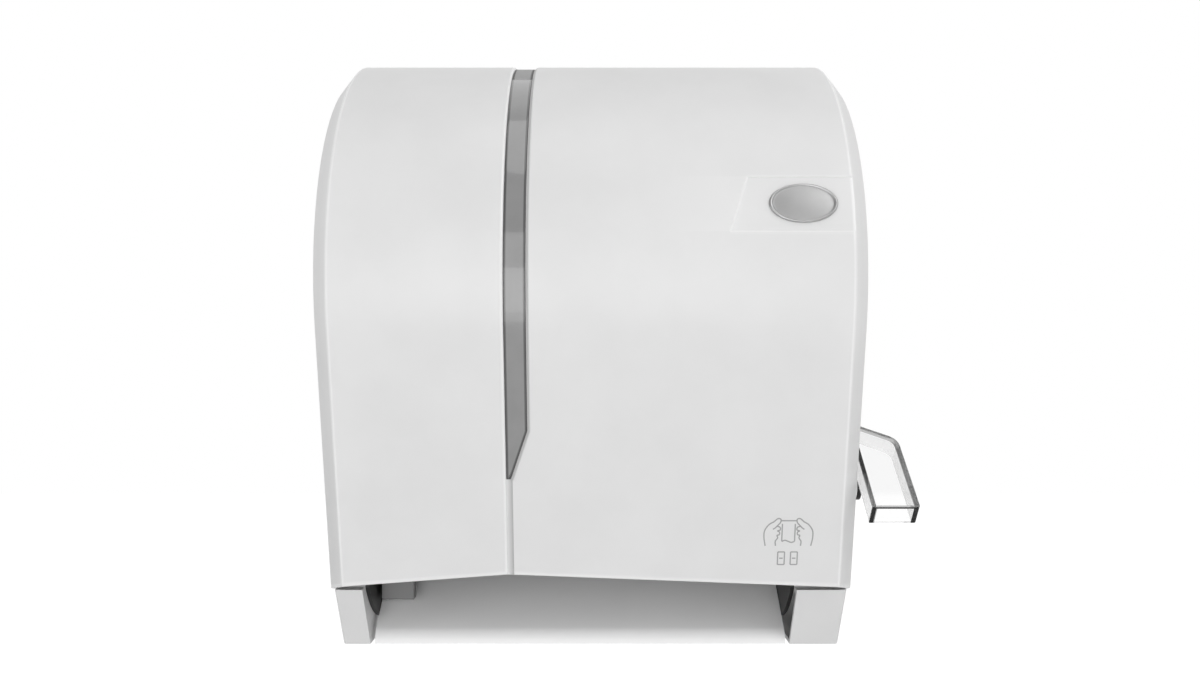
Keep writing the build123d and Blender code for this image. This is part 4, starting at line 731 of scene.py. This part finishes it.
# The slot is a hole in the grid, four columns wide, from the right of the lip to the shelf.
slot_from = 3 + len(left_x) - 1
slot_to = slot_from + 4
hole = np.zeros((rows - 1, columns - 1), bool)
in_slot = (run_rows > SLOT_REAR_D - REAR_D) & (run_rows < run_at(SLOT_TIP_Z) + 0.05)
slot_rows = np.flatnonzero(in_slot)
hole[slot_rows[0]:slot_rows[-1], slot_from:slot_to] = True

# Painted highlights make the ridges, the slot's lip, the bay's edges and the hem pale, and painted
# shade greys the groove and the shelf beside the strip.
painted_light_values = np.zeros((rows, columns))
ridge_highlight = ridge_of(np.abs(grid_x), RIDGE_X + 0.1, 0.9)
lip_highlight = (grid_x < SLOT_X + 0.001) * ridge_of(grid_x, SLOT_X - 0.5, 0.8)
bay_top, bay_bottom = run_at(BAY_TOP_Z), run_at(BAY_BOTTOM_Z)
level = (grid_run > bay_top - 0.2) & (grid_run < bay_bottom + 0.2)
past_bay = (grid_x > bay_x - 0.2) & (grid_x < RIDGE_X)
bay_side_highlight = ridge_of(grid_x, bay_x, 0.7) * level
bay_end_highlight = ridge_of(grid_run, bay_top, 0.4) + ridge_of(grid_run, bay_bottom, 0.4)
hem_highlight = ridge_of(grid_run, fall_end - 0.25, 0.5)
painted_highlights = [ridge_highlight, lip_highlight, 0.7 * bay_side_highlight, 0.7 * bay_end_highlight * past_bay, hem_highlight]
below_tip = grid_run > run_at(SLOT_TIP_Z) + 0.05
beside_slot = (grid_run > SLOT_REAR_D - REAR_D) & ~below_tip
past_edge = grid_x - edge_x
# Painted shade in the groove and on the shelf beside the strip, where they lie in shade.
painted_shade = (past_edge > -0.03) * (1 - rise(past_edge, 0.9, 1.0)) * beside_slot
across_groove = np.clip((grid_x - SLOT_X - 0.3) / (GROOVE_WIDTH - 0.5), 0, 1)
painted_shade = np.maximum(painted_shade, across_groove * (past_edge < 0.15) * below_tip)
painted_light_values[:, 3:-3] = np.where(painted_shade > 0.02, -painted_shade, np.maximum.reduce(painted_highlights))
painted_light_values = np.concatenate([painted_light_values.ravel(), np.zeros(painted_light_values.size)])
# The cover's painted highlights are grey(244), its painted shade grey(188).
cover_white = moulded(
    "cover_white", grey(226), rough=0.36, grain=0.012, painted_light=grey(244), dust_and_shade_colour=grey(188)
)
cover = piece(
    "cover_shell",
    np.vstack([outer, inner]),
    wall_faces(rows, columns, hole),
    cover_white,
    painted_light=painted_light_values,
)


def carve(made, outline, left, right):
    """Cut a prism out of a piece, and shade what is left as it was."""
    tool = piece("tool", *prism(outline, left, right), made.data.materials[0])
    cut = made.modifiers.new("cut", "BOOLEAN")
    cut.object = tool
    carved = bpy.data.meshes.new_from_object(
        made.evaluated_get(bpy.context.evaluated_depsgraph_get())
    )
    made.modifiers.clear()
    made.data = carved
    carved.shade_smooth()
    carved.set_sharp_from_angle(angle=math.radians(32))
    bpy.data.objects.remove(tool)


pin_hole = around(HINGE_D, HINGE_Z, PIN_HOLE_R, np.arange(0, 360, 7.5))
sweep = SWING_FROM + np.linspace(0, SWING, 31)
shaft_slot = np.vstack(
    [
        around(HINGE_D, HINGE_Z, SWING_R + SWING_HALF, sweep),
        around(HINGE_D, HINGE_Z, SWING_R - SWING_HALF, sweep[::-1]),
        around(LEVER_D, LEVER_Z, SWING_HALF, SWING_FROM + np.arange(190, 360, 10)),
    ]
)
carve(cover, pin_hole, -HALF - 1, HALF + 1)
carve(cover, shaft_slot, HALF - WALL - 5, HALF + 1)
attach(cover, "cover")
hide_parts("front_cover")


# Window strip -------------------------------------------------------------------------------
# A bent strip of smoked polycarbonate shows how much paper is left. It fills the slot flush with
# its shelf, and a wider flange behind it is welded to the inside of the cover.
# Width of the band along the strip's edges that is painted dark as shade.
EDGE_SHADE_BAND = 0.55


def bar(run, left, right, top, bottom, soft, first=0):
    """A bar laid along the skin: at each run, a closed section of sides, two round corners and a
    flat top, from `top` to `bottom` below the skin. Also gives, for each point, 1 on its sides,
    its corners and a narrow band of its top along the edges, where it is painted dark as shade,
    and 0 elsewhere."""
    bend = np.radians(np.array([0, 30, 60, 90]))
    band = [soft + EDGE_SHADE_BAND, soft + 2 * EDGE_SHADE_BAND]
    inward = np.concatenate([[0], soft * (1 - np.cos(bend)), band])
    deep = np.concatenate([[bottom], top + soft * (1 - np.sin(bend)), [top, top]])
    edge = np.concatenate([np.ones(6), [0.0]])
    x = np.hstack([left + inward, (right - inward)[:, ::-1]])
    sink = np.broadcast_to(np.concatenate([deep, deep[::-1]]), x.shape)
    d, z = skin(run, sink)
    points = np.stack([x, -d, z], axis=-1).reshape(-1, 3) * MM
    faces = [list(face) for face in ring_faces(len(run), x.shape[1], first, wrap_rows=False)]
    ends = [first, first + (len(run) - 1) * x.shape[1]]
    faces += [list(range(end, end + x.shape[1])) for end in ends]
    return points, faces, np.tile(np.concatenate([edge, edge[::-1]]), len(run))


def smoked(name, colour, edge, rough=0.14, gloss=0.9, specular=0.5):
    """Smoked polycarbonate: a grey body under a clear gloss, with a faint ripple from bending. Its
    edges, where the painted-light values are 1, are painted much darker as shade."""
    material = bpy.data.materials.new(name)
    tree = open_tree(material)
    place = tree.node("TexCoord", {}, {}, out="Object")
    ripple = tree.node("TexNoise", {}, {"Vector": place, "Scale": 34, "Detail": 2})
    haze = tree.node("TexNoise", {}, {"Vector": place, "Scale": 60, "Detail": 3})
    # Painted shade: the edge colour darkens the marked edges.
    rim = tree.node("Attribute", {"attribute_name": "painted_light"}, {}, out="Fac")
    cloudy = tuple(c * 0.93 for c in colour[:3]) + (1,)
    surface = rim.tint(haze.clear(0.35, 0.65).tint(cloudy, colour), edge)
    shine = rough + (haze - 0.5) * 0.06
    bump = tree.node("Bump", {}, {"Strength": 0.12, "Distance": 0.2 * MM, "Height": ripple})
    body = {"Base Color": surface, "Roughness": shine, "Normal": bump, "Coat Weight": gloss}
    shader = tree.node("BsdfPrincipled", {}, body | {"Specular IOR Level": specular})
    tree.node("OutputMaterial", {}, {"Surface": shader})
    return material


TRIM_ANGLE = 58.0
STRIP_GAP, STRIP_SOFT = 0.12, 0.35
STRIP_BACK = WALL + 0.05
FLANGE, FLANGE_DEPTH, FLANGE_SOFT = 3.5, 3.8, 0.2
strip_start = FLAT_RUN + CROWN_R * math.radians(90 - TRIM_ANGLE)
strip_end = run_at(SLOT_TIP_Z) - STRIP_GAP
strip_run = spans(
    (strip_start, FLAT_RUN + CROWN_RUN, 60),
    (FLAT_RUN + CROWN_RUN, run_at(SLOT_END_Z), 6),
    (run_at(SLOT_END_Z), strip_end, 6),
)[:, None]
pane_left = np.full_like(strip_run, SLOT_X + STRIP_GAP)
pane_right = slot_edge(strip_run) - STRIP_GAP
pane = bar(strip_run, pane_left, pane_right, STRIP_SINK, STRIP_BACK, STRIP_SOFT)
flange_run = np.vstack([strip_run, [[strip_end + FLANGE]]])
flange_right = np.vstack([pane_right, pane_right[-1:] - 1]) + FLANGE
flange_left = np.full_like(flange_run, SLOT_X - FLANGE)
behind_wall = (WALL, FLANGE_DEPTH, FLANGE_SOFT)
flange = bar(flange_run, flange_left, flange_right, *behind_wall, len(pane[0]))
# grey(80) is the painted shade along the strip's edges.
smoke_window = smoked("smoke_window", grey(140), grey(80))
window = piece(
    "smoked_strip",
    np.vstack([pane[0], flange[0]]),
    pane[1] + flange[1],
    smoke_window,
    painted_light=np.concatenate([pane[2], flange[2] * 0]),
)
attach(window, "cover")
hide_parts("window_strip")


# Lock and its trim --------------------------------------------------------------------------
# A grey trim closes the rear end of the slot over the top. The cam lock stands in it: a chromed
# housing and nut, a plug with a keyway, and a steel cam that hooks behind the keeper.
trim_run = spans(
    (SLOT_REAR_D - REAR_D + STRIP_GAP, FLAT_RUN, 8),
    (FLAT_RUN, strip_start - STRIP_GAP, 16),
)[:, None]
trim_left = np.full_like(trim_run, SLOT_X + STRIP_GAP)
trim_right = trim_left + SLOT_WIDTH - 2 * STRIP_GAP
cap = bar(trim_run, trim_left, trim_right, STRIP_SINK, STRIP_BACK, STRIP_SOFT)
seat = bar(trim_run, trim_left - FLANGE, trim_right + FLANGE, *behind_wall, len(cap[0]))
# grey(92) is the painted shade along the trim's edges.
dark_trim = smoked("dark_trim", grey(166), grey(92), rough=0.5, gloss=0.0, specular=0.2)
trim = piece(
    "lock_cap",
    np.vstack([cap[0], seat[0]]),
    cap[1] + seat[1],
    dark_trim,
    painted_light=np.concatenate([cap[2], seat[2] * 0]),
)
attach(trim, "cover")
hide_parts("lock_trim")
lock_chrome = plated("lock_chrome", grey(212), rough=0.12, marks=(120, 120, 120), depth=0.001)
dress(lock_chrome, "lock_housing", "lock_nut", "lock_plug")
dress(plated_steel, "lock_cam", "lock_keeper")


# Badge --------------------------------------------------------------------------------------
# A bare oval of satin metal with a raised rim, pressed from sheet. It is stuck in the bay and
# bent to the crown.
BADGE_X, BADGE_Z, BADGE_WIDE, BADGE_HIGH = 113.8, 74.0, 37.0, 21.5
# Its section: at each share of the way out from the middle, the height above the bay's floor.
share = np.array([0, 0.25, 0.5, 0.7, 0.82, 0.86, 0.88, 0.9, 0.93, 0.96, 0.985, 1, 1, 0])
proud = np.array([1.1, 1.08, 1.0, 0.9, 0.82, 0.8, 0.82, 1.1, 1.35, 1.4, 1.25, 0.95, 0, 0])
spoke = np.linspace(0, 2 * math.pi, 96, endpoint=False)
badge_x = BADGE_X + BADGE_WIDE / 2 * share[:, None] * np.cos(spoke)
badge_z = BADGE_Z + BADGE_HIGH / 2 * share[:, None] * np.sin(spoke)
climb = np.arcsin((badge_z - CROWN_Z) / CROWN_R)
from_centre = CROWN_R - BAY_DEPTH + proud[:, None]
badge_points = np.stack(
    [badge_x, -(CROWN_D + from_centre * np.cos(climb)), CROWN_Z + from_centre * np.sin(climb)],
    axis=-1,
)
badge_metal = plated("badge_metal", grey(180), rough=0.34, marks=(60, 900, 900), blotched=0.95)
badge = piece(
    "oval_badge",
    badge_points.reshape(-1, 3) * MM,
    ring_faces(len(share), len(spoke), wrap_rows=False),
    badge_metal,
)
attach(badge, "cover")
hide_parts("badge")


# Printed pictogram --------------------------------------------------------------------------
# Grey screen ink on the front, low on the right: two hands draw down a sheet, with two small
# sheets below them. Its lines are given as marks (x, z) that a smooth curve passes through.
INK_WIDTH, INK_PROUD, INK_ROOT = 0.72, 0.04, 0.05


def curve(marks, count=16):
    """Points on a smooth line through marks: on each run between two marks, the cubic that
    leaves and arrives parallel to the line between the marks on either side."""
    marks = np.array(marks, float)
    ends = np.vstack([2 * marks[0] - marks[1], marks, 2 * marks[-1] - marks[-2]])
    t = np.linspace(0, 1, count, endpoint=False)[None, :, None]
    a, b, c, d = (ends[k : len(ends) - 3 + k, None] for k in range(4))
    line = 0.5 * (2 * b + (c - a) * t + (2 * a - 5 * b + 4 * c - d) * t**2)
    line = line + 0.5 * (3 * b - a - 3 * c + d) * t**3
    return np.vstack([line.reshape(-1, 2), marks[-1:]])


def stroke(line, width, first):
    """A line of ink: at each of its points, a thin closed section as wide as the stroke, square
    to the line and a little proud of the skin."""
    heading = np.gradient(line, axis=0)
    heading = heading / np.linalg.norm(heading, axis=1, keepdims=True)
    aside = np.stack([-heading[:, 1], heading[:, 0]], axis=-1) * width / 2
    at = np.stack([line + aside, line - aside, line - aside, line + aside], axis=1)
    run = FLAT_RUN + CROWN_RUN + (FOOT_Z - at[..., 1]) / math.cos(LEAN)
    d, z = skin(run, np.array([-INK_PROUD, -INK_PROUD, INK_ROOT, INK_ROOT]))
    points = np.stack([at[..., 0], -d, z], axis=-1).reshape(-1, 3) * MM
    faces = [list(face) for face in ring_faces(len(line), 4, first, wrap_rows=False)]
    ends = [first, first + 4 * (len(line) - 1)]
    return points, faces + [list(range(end, end + 4)) for end in ends]


PICTURE_X, SMALL_ASIDE = 110.6, 3.6
hand = [
    [(-12.8, -114.2), (-13.6, -109.6), (-13.4, -105.4), (-11.2, -102.0), (-8.4, -100.2)],
    [(-8.4, -100.2), (-6.2, -98.4), (-4.6, -98.8), (-4.7, -100.6), (-6.6, -102.8)],
    [(-6.6, -102.8), (-4.9, -103.4), (-4.7, -104.9), (-6.3, -105.5)],
    [(-6.3, -105.5), (-5.1, -106.2), (-5.1, -107.6), (-6.5, -108.1)],
    [(-6.5, -108.1), (-6.0, -109.6), (-7.2, -111.6), (-7.0, -114.2)],
    [(-8.8, -104.6), (-7.6, -103.8), (-6.6, -102.8)],
]
sheet = [
    [(-4.5, -99.6), (0, -99.6), (4.5, -99.6)],
    [(-3.6, -101.4), (-3.6, -106.4), (-3.6, -111.6)],
    [(3.6, -101.4), (3.6, -106.4), (3.6, -111.6)],
    [(-3.6, -111.6), (-1.8, -111.0), (0, -111.6), (1.8, -112.2), (3.6, -111.6)],
]
small = [
    [(-1.9, -117.8), (1.9, -117.8)],
    [(1.9, -117.8), (1.9, -125.2)],
    [(1.9, -125.2), (-1.9, -125.2)],
    [(-1.9, -125.2), (-1.9, -117.8)],
    [(-1.0, -121.5), (1.0, -121.5)],
]
marks = [curve(part) for part in hand + sheet]
marks += [curve(part) * (-1, 1) for part in hand]
marks += [curve(part) + (aside, 0) for part in small for aside in (-SMALL_ASIDE, SMALL_ASIDE)]
ink_points, ink_faces = [], []
for mark in marks:
    drawn = stroke(mark + (PICTURE_X, 0), INK_WIDTH, sum(len(p) for p in ink_points))
    ink_points.append(drawn[0])
    ink_faces += drawn[1]
print_ink = moulded("print_ink", grey(168), rough=0.5, grain=0.004, patch=0.1)
picture = piece("pictogram", np.vstack(ink_points), ink_faces, print_ink)
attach(picture, "cover")


# Lever --------------------------------------------------------------------------------------
# A clear polycarbonate moulding, screwed to the shaft outside the cover: an arm plate and a
# sloping tray with a thick rim that the hand presses down.
def clear_moulding(name, clear, edge, rough=0.03):
    """Clear plastic that bends the light and drinks a little of it, with a slight ripple. Its flat
    faces stay bright, and its narrow faces, the ends of its walls, are tinted grey with painted
    shade."""
    material = bpy.data.materials.new(name)
    tree = open_tree(material)
    place = tree.node("TexCoord", {}, {}, out="Object")
    ripple = tree.node("TexNoise", {}, {"Vector": place, "Scale": 45, "Detail": 2})
    haze = tree.node("TexNoise", {}, {"Vector": place, "Scale": 300, "Detail": 3})
    bump = tree.node("Bump", {}, {"Strength": 0.1, "Distance": 0.1 * MM, "Height": ripple})
    # Painted shade: faces marked as wall ends are tinted towards the edge grey.
    end = tree.node("Attribute", {"attribute_name": "wall_end_shade"}, {}, out="Fac")
    body = {
        "Base Color": end.tint(clear, edge),
        "Roughness": rough + haze * 0.03,
        "Normal": bump,
        "IOR": 1.49,
        "Transmission Weight": 1.0,
    }
    shader = tree.node("BsdfPrincipled", {}, body)
    absorbed = {"Color": (0.2, 0.2, 0.2, 1), "Density": 14.0}
    inside = tree.node("VolumeAbsorption", {}, absorbed)
    tree.node("OutputMaterial", {}, {"Surface": shader, "Volume": inside})
    return material


LEVER_LEFT, LEVER_RIGHT, LEVER_WALL = 151.4, 177.0, 2.6
LEFT_WALL_X, RIGHT_WALL_X = LEVER_LEFT + LEVER_WALL, LEVER_RIGHT - LEVER_WALL
# Shares of painted shade on the tray's underside and on the walls' ends.
UNDERSIDE_SHADE, END_SHADE = 0.7, 1.0
TRAY_D, TRAY_Z, TRAY_DEPTH = 213.0, -89.0, 12.2
TRAY_SLOPE = math.radians(38.3)

# The moulding's points are merged and its long faces split along both side walls. A face then is a
# wall's end where it lies on the tray's underside, or on a side wall but turned out of it, and
# these faces are painted grey as shade.
moulding = nodes["lever"].data.copy()
moulding.name = "clear_lever"
work = bmesh.new()
work.from_mesh(moulding)
bmesh.ops.remove_doubles(work, verts=work.verts, dist=1e-6)
for wall_x in (LEFT_WALL_X, RIGHT_WALL_X):
    whole = work.verts[:] + work.edges[:] + work.faces[:]
    split = Vector((wall_x * MM, 0, 0))
    bmesh.ops.bisect_plane(work, geom=whole, dist=1e-7, plane_co=split, plane_no=(1, 0, 0))
work.to_mesh(moulding)
work.free()
middle = np.empty(len(moulding.polygons) * 3)
facing = np.empty(len(moulding.polygons) * 3)
moulding.polygons.foreach_get("center", middle)
moulding.polygons.foreach_get("normal", facing)
middle, facing = middle.reshape(-1, 3) / MM, facing.reshape(-1, 3)
tray_up = np.array([0, -math.sin(TRAY_SLOPE), math.cos(TRAY_SLOPE)])
below = (np.array([0, -TRAY_D, TRAY_Z]) - middle) @ tray_up
underside = (np.abs(below - TRAY_DEPTH) < 0.2) & (facing @ tray_up < -0.9)
on_side = (middle[:, 0] < LEFT_WALL_X) | (middle[:, 0] > RIGHT_WALL_X)
turned = on_side & (np.abs(facing[:, 0]) < 0.5) & (facing @ tray_up < 0.9)
ends = moulding.attributes.new("wall_end_shade", "FLOAT", "FACE")
ends.data.foreach_set("value", np.maximum(underside * UNDERSIDE_SHADE, turned * END_SHADE))
moulding.shade_flat()
lever = bpy.data.objects.new("clear_lever", moulding)
scene.collection.objects.link(lever)
# grey(95) is the painted shade of the walls' ends.
clear_plastic = clear_moulding("clear_plastic", (0.97, 0.97, 0.97, 1), grey(95))
moulding.materials.clear()
moulding.materials.append(clear_plastic)
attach(lever, "lever_arm")
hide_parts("lever")
dress(screw_zinc, "lever_screw", "lever_washer")
